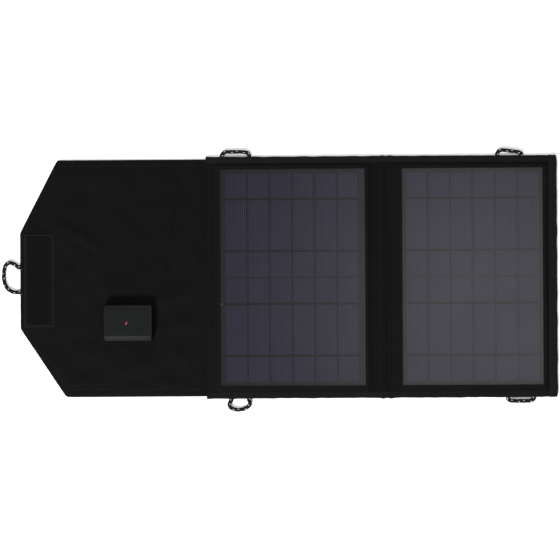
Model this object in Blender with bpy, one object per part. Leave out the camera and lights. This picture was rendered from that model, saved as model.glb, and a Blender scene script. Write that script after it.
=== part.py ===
"""A folding solar charger: two solar panels in a fabric cover, a soft spine and a closing flap.

The charger lies open and flat with its front side up.  X runs from the flap's tip (negative)
to the end panel (positive), Y runs across and Z points up.  The origin is on the ground under
the middle of the body, cord loops left out.  All sizes are in metres.
"""

import math

import bmesh
import bpy
from mathutils import Vector

# Plan of the unfolded body
BODY_LENGTH = 0.5380
PANEL_HEIGHT = 0.2425
FLAP_HEIGHT = 0.2375
SEAM_X = -0.08275           # fold between the centre panel and the spine
CREASE_X = 0.09825          # fold between the two panels
SPINE_WIDTH = 0.0285        # strip between the centre panel and the flap
FLAP_TIP = (-0.050, 0.046)  # lowest and highest Y of the flap's straight tip
FLAP_SHOULDER_X = (-0.2235, -0.2315)  # where the lower and the upper long edge end

# Layers, from the ground up
FABRIC = 0.0006
GAP = 0.0003                # clearance between neighbouring pieces
BOARD = 0.0012
CELL = 0.0003
RIBBON = 0.0002
FILM = 0.0003
LEAD = 0.0005
TAPE_PILE = 0.0015          # thickness of the hook tape

# Solar modules, each with two rows of six strip cells
WINDOW_HEIGHT = 0.2170
CENTRE_WINDOW_X = (-0.0685, 0.0765)
END_WINDOW_X = (0.11375, 0.2545)
MODULE_OVERLAP = 0.0025     # film and board hidden under the window's rim
CELL_COLUMNS = 6
CELL_ROWS = 2
CELL_PITCH_X = 0.0225
CELL_PITCH_Y = 0.1050
CELL_SIZE = (0.0214, 0.1036)
CENTRE_FIELD_X = 0.00365    # middle of the centre panel's cells
END_FIELD_X = 0.18445
RIBBON_WIDTH = 0.0022
RIBBON_OFFSET = 0.0260      # each ribbon's distance from the middle of its row
RIBBON_OVERHANG = 0.0020    # how far the ribbons reach past the outermost cells
BUS_WIDTH = 0.0020

# Link between the modules, a strip that drops off each board and meets the other at the crease
LINK_WIDTH = 0.0030
LINK_Y = 0.0105
LINK_DROP = (0.0003, 0.0016)  # start and end of the drop, past the board's edge
LINK_LEAN = 0.0001          # the drop's upper face lies this far behind its lower face
LINK_SINK = 0.00003         # each face of the link lies this far inside the bus

# Window rim: how far each step lies outside the window's edge
RIM_TOP = (0.0034, 0.0054)
RIM_UNDER = (0.0029, 0.0049)
# Back cover: how far each side of the step lies inside the binding's lip
STEP_TOP = (0.0015, 0.0010)
STEP_UNDER = (0.0009, 0.0004)

# Binding tape folded over the edges
BINDING = 0.0005
BINDING_LIP = 0.0067
SIDE_BINDING_LIP = 0.00875

# Hook-and-loop fastener
HOOK_X = (-0.26475, -0.23505)
HOOK_Y = (-0.0485, 0.0448)
LOOP_X = (0.1250, 0.1580)
LOOP_Y = (-0.0500, 0.0460)

# Charge controller on the flap
CASE_X = (-0.18475, -0.13625)
CASE_Y = (-0.0625, -0.0265)
CASE_WALL = 0.0015
CASE_FLOOR = 0.0012
CASE_CORNER = 0.0020
CASE_INNER_CORNER = 0.0010
CASE_EDGE = 0.0010          # bevel round the lid's top
CASE_FOOT_EDGE = 0.0005     # bevel round the base's underside
CASE_SPLIT = 0.0054         # height of the base above the flap
CASE_HEIGHT = 0.0120
SLOPE_LENGTH = 0.0042       # sloped face along the case's lower edge
SLOPE_DROP = 0.0040
SLOPE_INSIDE = (0.0004, 0.0006)  # the slope's inner face lies this far inward and below
PCB = 0.0012
PCB_MARGIN = 0.0005         # clearance round the circuit board
PCB_RISE = 0.0024           # underside of the circuit board above the case's own underside
POST_RADIUS = 0.0020
POST_INSET = 0.0045         # posts' distance from the case's sides
POST_SOCKET_INSET = 0.0180  # posts' distance from the socket's end of the case
LED_PIPE_RADIUS = 0.0014
LED_DOME = 0.0003
LED_XY = (-0.16205, -0.0445)
COIL_XY = (-0.1500, -0.0520)
COIL_HEIGHT = 0.0042
COIL_FLANGE = 0.0008
COIL_FLANGE_RADIUS = 0.0040
COIL_WAIST_RADIUS = 0.0031

# USB-A socket
SOCKET_LENGTH = 0.0140
SOCKET_OUTER = (0.0131, 0.0057)
SOCKET_INNER = (0.0125, 0.00512)
TONGUE = (0.0111, 0.00184)
TONGUE_RECESS = 0.0012      # from the socket's mouth to the tongue's tip
TONGUE_DROP = 0.0005        # from the insulating block's top to the tongue's
TONGUE_ROOT = 0.0005        # length of the tongue inside the block
INSULATOR_DEPTH = 0.0050    # from the socket's back to the insulating block's face
SOCKET_MARGIN = 0.0005

# Flat charge lead between the two fabric layers
LEAD_WIDTH = 0.0046
LEAD_Y = -0.0195
LEAD_ENTRY = (-0.1460, -0.0360)  # where the lead rises into the case
LEAD_SLOT = 0.0004          # clearance round the rising lead
LEAD_STRAIGHT = 0.0040      # straight length of the lead beside a fold and beside the case
RISER = 0.0003              # thickness of the tab that climbs from the lead to the ribbons
RISER_GAP = 0.00075         # from the tab to the board's edge
RISER_STRAIGHT = 0.0020     # straight length of the lead at the tab
EMBED = 0.0001              # a joined shape starts this far inside its piece

# Cord loops
CORD = 0.0040
CORD_Z = CORD / 2 + 0.00005
CORD_STEP = 0.0020

# Derived heights
INNER_Z = FABRIC + GAP + LEAD + GAP
BOARD_Z = FABRIC + GAP
CELL_Z = BOARD_Z + BOARD + GAP
RIBBON_Z = CELL_Z + CELL + GAP
FILM_Z = RIBBON_Z + RIBBON + GAP
RIM_Z = FILM_Z + FILM + GAP
FRONT_TOP = RIM_Z + FABRIC
MARGIN_Z = INNER_Z - GAP - FABRIC   # underside of the back cover over the binding's lower lip
FLAP_TOP = INNER_Z + FABRIC
BINDING_HEIGHT = FLAP_TOP + GAP + BINDING
CASE_Z = FLAP_TOP + GAP
CASE_TOP = CASE_Z + CASE_HEIGHT
PCB_Z = CASE_Z + PCB_RISE
SOCKET_Z = PCB_Z + PCB + GAP

# Derived plan
BODY_LEFT = -BODY_LENGTH / 2
BODY_RIGHT = BODY_LENGTH / 2
PANEL_HALF = PANEL_HEIGHT / 2
FLAP_HALF = FLAP_HEIGHT / 2
COVER_HALF = PANEL_HALF - BINDING - GAP
COVER_RIGHT = BODY_RIGHT - BINDING - GAP
FLAP_X = SEAM_X - SPINE_WIDTH
SOCKET_Y = sum(CASE_Y) / 2
CORD_EDGE = PANEL_HALF + GAP    # where the side loops come out of the binding
CORD_TIP = BODY_LEFT - GAP      # where the flap's loop comes out of the hem

# Routes of the cord loops in plan, from one sewn-in end to the other
FLAP_LOOP = [
    (CORD_TIP, 0.0117), (CORD_TIP - 0.0012, 0.0117), (-0.2742, 0.0146), (-0.2795, 0.0162),
    (-0.2838, 0.0130), (-0.2853, 0.0055), (-0.2848, -0.0025), (-0.2815, -0.0095),
    (-0.2757, -0.0130), (CORD_TIP - 0.0015, -0.0132), (CORD_TIP, -0.0132),
]
CENTRE_TOP_LOOP = [
    (-0.0662, CORD_EDGE), (-0.0662, CORD_EDGE + 0.0012), (-0.0637, 0.1256), (-0.0587, 0.1260),
    (-0.0517, 0.1260), (-0.0452, 0.1259), (-0.0406, 0.1250), (-0.0390, CORD_EDGE + 0.0012),
    (-0.0390, CORD_EDGE),
]
CENTRE_BOTTOM_LOOP = [
    (-0.0582, -CORD_EDGE), (-0.0582, -CORD_EDGE - 0.0012), (-0.0602, -0.1262), (-0.0588, -0.1300),
    (-0.0520, -0.1322), (-0.0442, -0.1308), (-0.0395, -0.1268), (-0.0404, -CORD_EDGE - 0.0012),
    (-0.0404, -CORD_EDGE),
]
END_TOP_LOOP = [
    (0.2095, CORD_EDGE), (0.2095, CORD_EDGE + 0.0012), (0.2115, 0.1256), (0.2160, 0.1262),
    (0.2205, 0.1257), (0.2260, 0.1249), (0.2305, 0.1243), (0.2335, CORD_EDGE + 0.0012),
    (0.2335, CORD_EDGE),
]
END_BOTTOM_LOOP = [
    (0.2189, -CORD_EDGE), (0.2189, -CORD_EDGE - 0.0011), (0.2212, -0.1246), (0.2257, -0.1250),
    (0.2318, -0.1251), (0.2380, -0.1250), (0.2425, -0.1246), (0.2448, -CORD_EDGE - 0.0011),
    (0.2448, -CORD_EDGE),
]

# Fold axes
PANEL_AXIS = Vector((CREASE_X, 0.0, FRONT_TOP + GAP / 2))
SPINE_AXIS = Vector((SEAM_X, 0.0, FLAP_TOP + GAP / 2))
FLAP_AXIS = Vector((FLAP_X, 0.0, FLAP_TOP + GAP / 2))


# ---------------------------------------------------------------- scene, bodies and materials

def clear_scene():
    for old in list(bpy.data.objects):
        bpy.data.objects.remove(old, do_unlink=True)


def make_material(name, colour, roughness, metallic=0.0):
    material = bpy.data.materials.new(name)
    material.use_nodes = True
    material.diffuse_color = (*colour, 1.0)
    shader = material.node_tree.nodes["Principled BSDF"]
    shader.inputs["Base Color"].default_value = (*colour, 1.0)
    shader.inputs["Roughness"].default_value = roughness
    shader.inputs["Metallic"].default_value = metallic
    return material


def make_materials():
    return {
        "fabric": make_material("fabric", (0.010, 0.010, 0.010), 0.85),
        "binding": make_material("binding", (0.012, 0.012, 0.012), 0.75),
        "hook_tape": make_material("hook_tape", (0.008, 0.008, 0.008), 0.95),
        "loop_tape": make_material("loop_tape", (0.011, 0.011, 0.011), 0.95),
        "cord": make_material("cord", (0.012, 0.012, 0.012), 0.80),
        "board": make_material("board", (0.045, 0.045, 0.048), 0.60),
        "cell": make_material("cell", (0.030, 0.027, 0.045), 0.30),
        "ribbon": make_material("ribbon", (0.050, 0.050, 0.050), 0.40, 0.8),
        "film": make_material("film", (0.060, 0.058, 0.075), 0.35),
        "case": make_material("case", (0.022, 0.022, 0.023), 0.45),
        "circuit": make_material("circuit", (0.020, 0.120, 0.045), 0.50),
        "socket": make_material("socket", (0.600, 0.600, 0.600), 0.25, 1.0),
        "insulator": make_material("insulator", (0.020, 0.020, 0.020), 0.50),
        "led": make_material("led", (0.700, 0.020, 0.040), 0.30),
        "coil": make_material("coil", (0.060, 0.055, 0.050), 0.60),
        "lead": make_material("lead", (0.015, 0.015, 0.015), 0.55),
    }


def make_pivot(name, place, parent=None):
    """An empty on a fold's axis; every piece that turns about the axis is parented to it."""
    pivot = bpy.data.objects.new(name, None)
    pivot.empty_display_size = 0.02
    pivot.location = place - (parent["place"] if parent else Vector())
    if parent:
        pivot.parent = parent["pivot"]
    bpy.context.scene.collection.objects.link(pivot)
    return {"pivot": pivot, "place": place}


def add_object(name, data, material, body):
    """Link a mesh or curve, drawn about the body's own origin, under the body's pivot."""
    piece = bpy.data.objects.new(name, data)
    data.materials.append(material)
    if body:
        piece.parent = body["pivot"]
    bpy.context.scene.collection.objects.link(piece)
    return piece


def add_mesh(name, bm, material, body, smooth=False):
    """Turn a bmesh in world coordinates into an object of the given body."""
    bmesh.ops.recalc_face_normals(bm, faces=bm.faces)
    if body:
        bmesh.ops.translate(bm, verts=bm.verts, vec=-body["place"])
    mesh = bpy.data.meshes.new(name)
    bm.to_mesh(mesh)
    bm.free()
    if smooth:
        mesh.shade_smooth()
        mesh.set_sharp_from_angle(angle=math.radians(40))
    return add_object(name, mesh, material, body)


# ---------------------------------------------------------------- shape helpers

def box_shape(low, high):
    bm = bmesh.new()
    bmesh.ops.create_cube(bm, size=1.0)
    for vert in bm.verts:
        vert.co = Vector(low[k] + (vert.co[k] + 0.5) * (high[k] - low[k]) for k in range(3))
    return bm


def extruded_shape(outline, place, near, far):
    """Extrude a closed outline from near to far; place is along_x, along_y or along_z."""
    bm = bmesh.new()
    first = [bm.verts.new(place(u, v, near)) for u, v in outline]
    last = [bm.verts.new(place(u, v, far)) for u, v in outline]
    bm.faces.new(first)
    bm.faces.new(last)
    for k in range(len(outline)):
        after = (k + 1) % len(outline)
        bm.faces.new((first[k], first[after], last[after], last[k]))
    return bm


def along_x(y, z, x):
    return Vector((x, y, z))


def along_y(x, z, y):
    return Vector((x, y, z))


def along_z(x, y, z):
    return Vector((x, y, z))


def sheet_shape(top, under, raised, hole=None):
    """A sheet of cloth on a grid of stations, with raised and lowered areas.

    top and under are (xs, ys, low z, high z); raised(i, j) says whether a grid point is high,
    and hole is the grid cell that is left open.
    """
    bm = bmesh.new()
    columns = len(top[0])
    rows = len(top[1])
    cells = {(i, j) for i in range(columns - 1) for j in range(rows - 1)} - {hole}
    corners = {(i + a, j + b) for i, j in cells for a in (0, 1) for b in (0, 1)}
    verts = {}
    for side, (xs, ys, low, high) in (("top", top), ("under", under)):
        for i, j in sorted(corners):
            height = high if raised(i, j) else low
            verts[side, i, j] = bm.verts.new((xs[i], ys[j], height))
    for i, j in sorted(cells):
        a, b, c, d = (i, j), (i + 1, j), (i + 1, j + 1), (i, j + 1)
        halves = ((a, b, c), (a, c, d)) if raised(*a) != raised(*c) else ((a, b, d), (b, c, d))
        for half in halves:
            bm.faces.new([verts["top", *p] for p in half])
            bm.faces.new([verts["under", *p] for p in reversed(half)])
        neighbours = (((i, j - 1), a, b), ((i + 1, j), b, c), ((i, j + 1), c, d), ((i - 1, j), d, a))
        for neighbour, p, q in neighbours:
            if neighbour not in cells:
                wall = (verts["top", *q], verts["top", *p], verts["under", *p], verts["under", *q])
                bm.faces.new(wall)
    return bm


def rounded_ring(low, high, radius, z, steps=4):
    """The corners of a rounded rectangle at height z, anticlockwise from above."""
    centres = (
        (high[0] - radius, high[1] - radius, 0.0),
        (low[0] + radius, high[1] - radius, 90.0),
        (low[0] + radius, low[1] + radius, 180.0),
        (high[0] - radius, low[1] + radius, 270.0),
    )
    ring = []
    for x, y, start in centres:
        for k in range(steps + 1):
            angle = math.radians(start + 90.0 * k / steps)
            ring.append(Vector((x + radius * math.cos(angle), y + radius * math.sin(angle), z)))
    return ring


def cup_shape(outside, inside):
    """A shell from rings of equal count: up the outside to a closed end, then back down the inside."""
    bm = bmesh.new()
    rings = [[bm.verts.new(p) for p in ring] for ring in reversed(outside)]
    rings += [[bm.verts.new(p) for p in ring] for ring in inside]
    bm.faces.new(rings[0])
    bm.faces.new(rings[-1])
    for lower, upper in zip(rings, rings[1:]):
        for k in range(len(lower)):
            after = (k + 1) % len(lower)
            bm.faces.new((lower[k], lower[after], upper[after], upper[k]))
    return bm


def lathe_shape(profile, centre, segments=24):
    """Turn a profile of (radius, z) about a vertical axis; its first and last radius are zero."""
    bm = bmesh.new()
    bottom = bm.verts.new((centre[0], centre[1], profile[0][1]))
    top = bm.verts.new((centre[0], centre[1], profile[-1][1]))
    rings = []
    for radius, z in profile[1:-1]:
        ring = []
        for k in range(segments):
            angle = 2.0 * math.pi * k / segments
            x = centre[0] + radius * math.cos(angle)
            y = centre[1] + radius * math.sin(angle)
            ring.append(bm.verts.new((x, y, z)))
        rings.append(ring)
    for k in range(segments):
        after = (k + 1) % segments
        bm.faces.new((bottom, rings[0][after], rings[0][k]))
        bm.faces.new((top, rings[-1][k], rings[-1][after]))
        for lower, upper in zip(rings, rings[1:]):
            bm.faces.new((lower[k], lower[after], upper[after], upper[k]))
    return bm


def combine(piece, bm, operation):
    """Join a shape to a piece, or cut it away, with a Boolean on a hidden helper."""
    helper = add_mesh(f"{piece.name}_{operation.lower()}", bm, piece.data.materials[0], None)
    helper.hide_render = True
    helper.display_type = "WIRE"
    modifier = piece.modifiers.new(helper.name, "BOOLEAN")
    modifier.operation = operation
    modifier.solver = "EXACT"
    modifier.object = helper


# ---------------------------------------------------------------- fabric covers

def add_front_cover(name, x_span, window_x, material, body):
    """The front cloth: low margins that rise to a rim over the edge of the module."""
    window_y = (-WINDOW_HEIGHT / 2, WINDOW_HEIGHT / 2)

    def stations(span, window, steps):
        near, far = steps
        lower = [span[0], window[0] - far, window[0] - near, window[0]]
        return lower + [window[1], window[1] + near, window[1] + far, span[1]]

    y_span = (-COVER_HALF, COVER_HALF)
    top = (stations(x_span, window_x, RIM_TOP), stations(y_span, window_y, RIM_TOP), FLAP_TOP, FRONT_TOP)
    under = (stations(x_span, window_x, RIM_UNDER), stations(y_span, window_y, RIM_UNDER), INNER_Z, RIM_Z)
    shape = sheet_shape(top, under, lambda i, j: i in range(2, 6) and j in range(2, 6), (3, 3))
    add_mesh(name, shape, material, body)


def add_back_cover(name, x_span, is_end, material, body):
    """The back cloth: flat on the ground, with edges that step up over the binding's lower lip.

    The end panel's cloth has a third bound edge and a hole for the loop patch.
    """

    def stations(steps):
        far, near = steps
        lip_y = PANEL_HALF - BINDING_LIP
        lip_x = BODY_RIGHT - SIDE_BINDING_LIP
        ys = [-COVER_HALF, -lip_y + near, -lip_y + far, lip_y - far, lip_y - near, COVER_HALF]
        xs = [x_span[0]]
        if is_end:
            xs += [LOOP_X[0] - GAP, LOOP_X[1] + GAP, lip_x - far, lip_x - near]
            ys[3:3] = [LOOP_Y[0] - GAP, LOOP_Y[1] + GAP]
        return xs + [x_span[1]], ys

    top_x, top_y = stations(STEP_TOP)
    under_x, under_y = stations(STEP_UNDER)
    last_row = len(top_y) - 1
    last_flat = len(top_x) - 3 if is_end else len(top_x) - 1

    def raised(i, j):
        return j in (0, 1, last_row - 1, last_row) or i > last_flat

    top = (top_x, top_y, FABRIC, MARGIN_Z + FABRIC)
    under = (under_x, under_y, 0.0, MARGIN_Z)
    add_mesh(name, sheet_shape(top, under, raised, (1, 3) if is_end else None), material, body)


def binding_profile(edge, lip):
    """A tape folded round an edge: (distance along the cloth, height), for an edge at +edge."""
    return [
        (edge, 0.0),
        (edge, BINDING_HEIGHT),
        (edge - lip, BINDING_HEIGHT),
        (edge - lip, BINDING_HEIGHT - BINDING),
        (edge - BINDING, BINDING_HEIGHT - BINDING),
        (edge - BINDING, BINDING),
        (edge - lip, BINDING),
        (edge - lip, 0.0),
    ]


def add_long_bindings(prefix, x_span, material, body):
    for side, sign in (("top", 1.0), ("bottom", -1.0)):
        outline = [(sign * y, z) for y, z in binding_profile(PANEL_HALF, BINDING_LIP)]
        shape = extruded_shape(outline, along_x, *x_span)
        add_mesh(f"{prefix}_binding_{side}", shape, material, body)


def add_side_binding(material, body):
    outline = binding_profile(BODY_RIGHT, SIDE_BINDING_LIP)
    shape = extruded_shape(outline, along_y, -PANEL_HALF, PANEL_HALF)
    add_mesh("end_binding_side", shape, material, body)


# ---------------------------------------------------------------- solar modules

def add_module(prefix, window_x, field_x, materials, body):
    """Backing board, strip cells and front film of one panel."""
    low = Vector((window_x[0] - MODULE_OVERLAP, -WINDOW_HEIGHT / 2 - MODULE_OVERLAP))
    high = Vector((window_x[1] + MODULE_OVERLAP, WINDOW_HEIGHT / 2 + MODULE_OVERLAP))
    board = box_shape((*low, BOARD_Z), (*high, BOARD_Z + BOARD))
    add_mesh(f"{prefix}_backing_board", board, materials["board"], body)
    film = box_shape((*low, FILM_Z), (*high, FILM_Z + FILM))
    add_mesh(f"{prefix}_front_film", film, materials["film"], body)

    for row in range(CELL_ROWS):
        y = (0.5 * (CELL_ROWS - 1) - row) * CELL_PITCH_Y
        for column in range(CELL_COLUMNS):
            x = field_x + (column - 0.5 * (CELL_COLUMNS - 1)) * CELL_PITCH_X
            near = (x - CELL_SIZE[0] / 2, y - CELL_SIZE[1] / 2, CELL_Z)
            far = (x + CELL_SIZE[0] / 2, y + CELL_SIZE[1] / 2, CELL_Z + CELL)
            number = row * CELL_COLUMNS + column + 1
            add_mesh(f"{prefix}_cell_{number:02d}", box_shape(near, far), materials["cell"], body)


def ribbon_heights():
    """The middle heights of the four ribbons that cross the strip cells."""
    rows = [(0.5 * (CELL_ROWS - 1) - row) * CELL_PITCH_Y for row in range(CELL_ROWS)]
    return sorted(y + side * RIBBON_OFFSET for y in rows for side in (-1, 1))


def ribbon_outline(bus_x, tip_x):
    """Comb outline in plan: a bus across all rows at bus_x and one finger per ribbon to tip_x."""
    toward_tip = math.copysign(1.0, tip_x - bus_x)
    back = bus_x - toward_tip * BUS_WIDTH / 2
    front = bus_x + toward_tip * BUS_WIDTH / 2
    heights = ribbon_heights()
    half = RIBBON_WIDTH / 2
    outline = [(back, heights[0] - half)]
    for y in heights:
        if y > heights[0]:
            outline.append((front, y - half))
        outline += [(tip_x, y - half), (tip_x, y + half)]
        if y < heights[-1]:
            outline.append((front, y + half))
    outline.append((back, heights[-1] + half))
    return outline


def link_profile(bus_x, board_edge, crease_edge):
    """Side view of the strip that runs from the bus, off the board and down to the crease."""
    toward = math.copysign(1.0, crease_edge - bus_x)
    drop_start = board_edge + toward * LINK_DROP[0]
    drop_end = board_edge + toward * LINK_DROP[1]
    lean = toward * LINK_LEAN
    upper = RIBBON_Z + LINK_SINK
    thick = RIBBON - 2 * LINK_SINK
    return [
        (bus_x, upper),
        (drop_start, upper),
        (drop_end, BOARD_Z),
        (crease_edge, BOARD_Z),
        (crease_edge, BOARD_Z + thick),
        (drop_end + lean, BOARD_Z + thick),
        (drop_start + lean, upper + thick),
        (bus_x, upper + thick),
    ]


def add_ribbons(prefix, field_x, window_edge, crease_edge, material, body):
    """Ribbons over the cells, the bus that joins them and the link to the other panel."""
    toward = math.copysign(1.0, crease_edge - field_x)
    reach = CELL_COLUMNS * CELL_PITCH_X / 2 + RIBBON_OVERHANG
    bus_x = field_x + toward * reach
    tip_x = field_x - toward * reach
    comb = extruded_shape(ribbon_outline(bus_x, tip_x), along_z, RIBBON_Z, RIBBON_Z + RIBBON)
    piece = add_mesh(f"{prefix}_ribbons", comb, material, body)
    board_edge = window_edge + toward * MODULE_OVERLAP
    profile = link_profile(bus_x, board_edge, crease_edge)
    near = LINK_Y - LINK_WIDTH / 2
    link = extruded_shape(profile, along_y, near, near + LINK_WIDTH)
    combine(piece, link, "UNION")


# ---------------------------------------------------------------- cord loops

def smooth_route(points, step):
    """Evenly spaced points along a Catmull-Rom curve through the route's own points."""
    ends = [points[0] * 2 - points[1], *points, points[-1] * 2 - points[-2]]
    fine = []
    for a, b, c, d in zip(ends, ends[1:], ends[2:], ends[3:]):
        for k in range(16):
            t = k / 16
            cubic = (d - a + (b - c) * 3) * t ** 3 + (a * 2 - b * 5 + c * 4 - d) * t ** 2
            fine.append((b * 2 + (c - a) * t + cubic) / 2)
    fine.append(points[-1])
    lengths = [(q - p).length for p, q in zip(fine, fine[1:])]
    total = sum(lengths)
    count = max(2, round(total / step))
    route = [fine[0]]
    travelled = 0.0
    for p, q, length in zip(fine, fine[1:], lengths):
        target = len(route) * total / count
        if len(route) < count and travelled + length >= target:
            route.append(p.lerp(q, (target - travelled) / length))
        travelled += length
    route.append(fine[-1])
    return route


def add_cord_loop(name, plan, material, body):
    """A short cord on the ground whose two ends leave the edge squarely, where they are sewn in."""
    points = [Vector((x, y, CORD_Z)) for x, y in plan]
    route = [points[0], *smooth_route(points[1:-1], CORD_STEP), points[-1]]
    curve = bpy.data.curves.new(name, "CURVE")
    curve.dimensions = "3D"
    curve.bevel_depth = CORD / 2
    curve.bevel_resolution = 2
    curve.use_fill_caps = True
    spline = curve.splines.new("POLY")
    spline.points.add(len(route) - 1)
    for point, place in zip(spline.points, route):
        point.co = (*(place - (body["place"] if body else Vector())), 1.0)
    add_object(name, curve, material, body)


# ---------------------------------------------------------------- spine, flap and leads

def flap_outline(right):
    lower_shoulder, upper_shoulder = FLAP_SHOULDER_X
    return [
        (right, -FLAP_HALF),
        (right, FLAP_HALF),
        (upper_shoulder, FLAP_HALF),
        (BODY_LEFT, FLAP_TIP[1]),
        (BODY_LEFT, FLAP_TIP[0]),
        (lower_shoulder, -FLAP_HALF),
    ]


def add_flap_and_spine(materials, flap, spine):
    """Two layers of cloth for the flap and for the spine, with the fastener on the flap's tip."""
    flap_right = FLAP_X - GAP / 2
    spine_left = FLAP_X + GAP / 2
    spine_right = SEAM_X - GAP / 2
    for layer, z in (("outer", 0.0), ("inner", INNER_Z)):
        strip = box_shape((spine_left, -FLAP_HALF, z), (spine_right, FLAP_HALF, z + FABRIC))
        add_mesh(f"spine_{layer}_fabric", strip, materials["fabric"], spine)
        cloth = extruded_shape(flap_outline(flap_right), along_z, z, z + FABRIC)
        piece = add_mesh(f"flap_{layer}_fabric", cloth, materials["fabric"], flap)
        if layer == "inner":
            combine(piece, lead_slot(z - GAP, z + FABRIC + GAP), "DIFFERENCE")
    low = (HOOK_X[0], HOOK_Y[0], CASE_Z)
    high = (HOOK_X[1], HOOK_Y[1], CASE_Z + TAPE_PILE)
    add_mesh("hook_fastener_strip", box_shape(low, high), materials["hook_tape"], flap)


def add_loop_patch(material, body):
    """Loop tape set flush into the back of the end panel, where the closed flap's hooks arrive."""
    patch = box_shape((LOOP_X[0], LOOP_Y[0], 0.0), (LOOP_X[1], LOOP_Y[1], FABRIC))
    add_mesh("loop_fastener_patch", patch, material, body)


def lead_slot(bottom, top):
    """Cutter for the slot through which the lead rises from under the cloth into the case."""
    x, y = LEAD_ENTRY
    half_x = LEAD / 2 + LEAD_SLOT
    half_y = LEAD_WIDTH / 2 + LEAD_SLOT
    return box_shape((x - half_x, y - half_y, bottom), (x + half_x, y + half_y, top))


def add_flap_lead(material, body):
    """From the fold across the flap, then up through the slot into the case."""
    half = LEAD_WIDTH / 2
    x, y = LEAD_ENTRY
    fold = FLAP_X - GAP / 2
    start = x - LEAD / 2
    outline = [
        (start, y - half),
        (x + LEAD_STRAIGHT, y - half),
        (fold - LEAD_STRAIGHT, LEAD_Y - half),
        (fold, LEAD_Y - half),
        (fold, LEAD_Y + half),
        (fold - LEAD_STRAIGHT, LEAD_Y + half),
        (x + LEAD_STRAIGHT, y + half),
        (start, y + half),
    ]
    flat = extruded_shape(outline, along_z, BOARD_Z, BOARD_Z + LEAD)
    piece = add_mesh("flap_lead", flat, material, body)
    near = (start + EMBED, y - half + EMBED, BOARD_Z + EMBED)
    far = (x + LEAD / 2 - EMBED, y + half - EMBED, PCB_Z - GAP)
    combine(piece, box_shape(near, far), "UNION")


def add_spine_lead(material, body):
    half = LEAD_WIDTH / 2
    near = (FLAP_X + GAP / 2, LEAD_Y - half, BOARD_Z)
    far = (SEAM_X - GAP / 2, LEAD_Y + half, BOARD_Z + LEAD)
    add_mesh("spine_lead", box_shape(near, far), material, body)


def add_centre_lead(material):
    """From the fold to the board's edge, where a tab climbs to the end of a ribbon."""
    half = LEAD_WIDTH / 2
    terminal_y = ribbon_heights()[1]
    fold = SEAM_X + GAP / 2
    tab_x = CENTRE_WINDOW_X[0] - MODULE_OVERLAP - RISER_GAP
    end_x = tab_x + RISER + EMBED
    outline = [
        (fold, LEAD_Y - half),
        (fold + LEAD_STRAIGHT, LEAD_Y - half),
        (tab_x - RISER_STRAIGHT, terminal_y - half),
        (end_x, terminal_y - half),
        (end_x, terminal_y + half),
        (tab_x - RISER_STRAIGHT, terminal_y + half),
        (fold + LEAD_STRAIGHT, LEAD_Y + half),
        (fold, LEAD_Y + half),
    ]
    flat = extruded_shape(outline, along_z, BOARD_Z, BOARD_Z + LEAD)
    piece = add_mesh("centre_lead", flat, material, None)
    ribbon_end = CENTRE_FIELD_X - CELL_COLUMNS * CELL_PITCH_X / 2 - RIBBON_OVERHANG - GAP
    tab = [
        (tab_x, BOARD_Z + EMBED),
        (tab_x + RISER, BOARD_Z + EMBED),
        (tab_x + RISER, RIBBON_Z),
        (ribbon_end, RIBBON_Z),
        (ribbon_end, RIBBON_Z + RIBBON),
        (tab_x, RIBBON_Z + RIBBON),
    ]
    half = RIBBON_WIDTH / 2
    combine(piece, extruded_shape(tab, along_y, terminal_y - half, terminal_y + half), "UNION")


# ---------------------------------------------------------------- charge controller

def case_ring(inset, front, z, radius):
    """A ring of the case's plan: inset on three sides, and by front on the sloped lower side."""
    low = (CASE_X[0] + inset, CASE_Y[0] + front)
    high = (CASE_X[1] - inset, CASE_Y[1] - inset)
    return rounded_ring(low, high, radius, z)


def socket_mouth():
    """Cutter for the window that the socket looks out of, at the case's flap-tip end."""
    half_y = SOCKET_OUTER[0] / 2 + SOCKET_MARGIN
    bottom = SOCKET_Z - SOCKET_MARGIN
    top = SOCKET_Z + SOCKET_OUTER[1] + SOCKET_MARGIN
    low = (CASE_X[0] - CASE_WALL, SOCKET_Y - half_y, bottom)
    return box_shape(low, (CASE_X[0] + 2 * CASE_WALL, SOCKET_Y + half_y, top))


def add_case_base(material, body):
    """A tray with four posts that carry the circuit board."""
    rim = CASE_Z + CASE_SPLIT
    edge = CASE_FOOT_EDGE
    outside = [
        case_ring(0.0, 0.0, rim, CASE_CORNER),
        case_ring(0.0, 0.0, CASE_Z + edge, CASE_CORNER),
        case_ring(edge, edge, CASE_Z, CASE_CORNER - edge),
    ]
    inside = [
        case_ring(CASE_WALL, CASE_WALL, rim, CASE_INNER_CORNER),
        case_ring(CASE_WALL, CASE_WALL, CASE_Z + CASE_FLOOR, CASE_INNER_CORNER),
    ]
    base = add_mesh("case_base", cup_shape(outside, inside), material, body, smooth=True)
    combine(base, socket_mouth(), "DIFFERENCE")
    combine(base, lead_slot(CASE_Z - GAP, CASE_Z + 2 * CASE_WALL), "DIFFERENCE")
    bottom = CASE_Z + CASE_FLOOR - EMBED
    top = PCB_Z - GAP
    profile = [(0.0, bottom), (POST_RADIUS, bottom), (POST_RADIUS, top), (0.0, top)]
    for x in (CASE_X[0] + POST_SOCKET_INSET, CASE_X[1] - POST_INSET):
        for y in (CASE_Y[0] + POST_INSET, CASE_Y[1] - POST_INSET):
            combine(base, lathe_shape(profile, (x, y), segments=12), "UNION")


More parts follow.
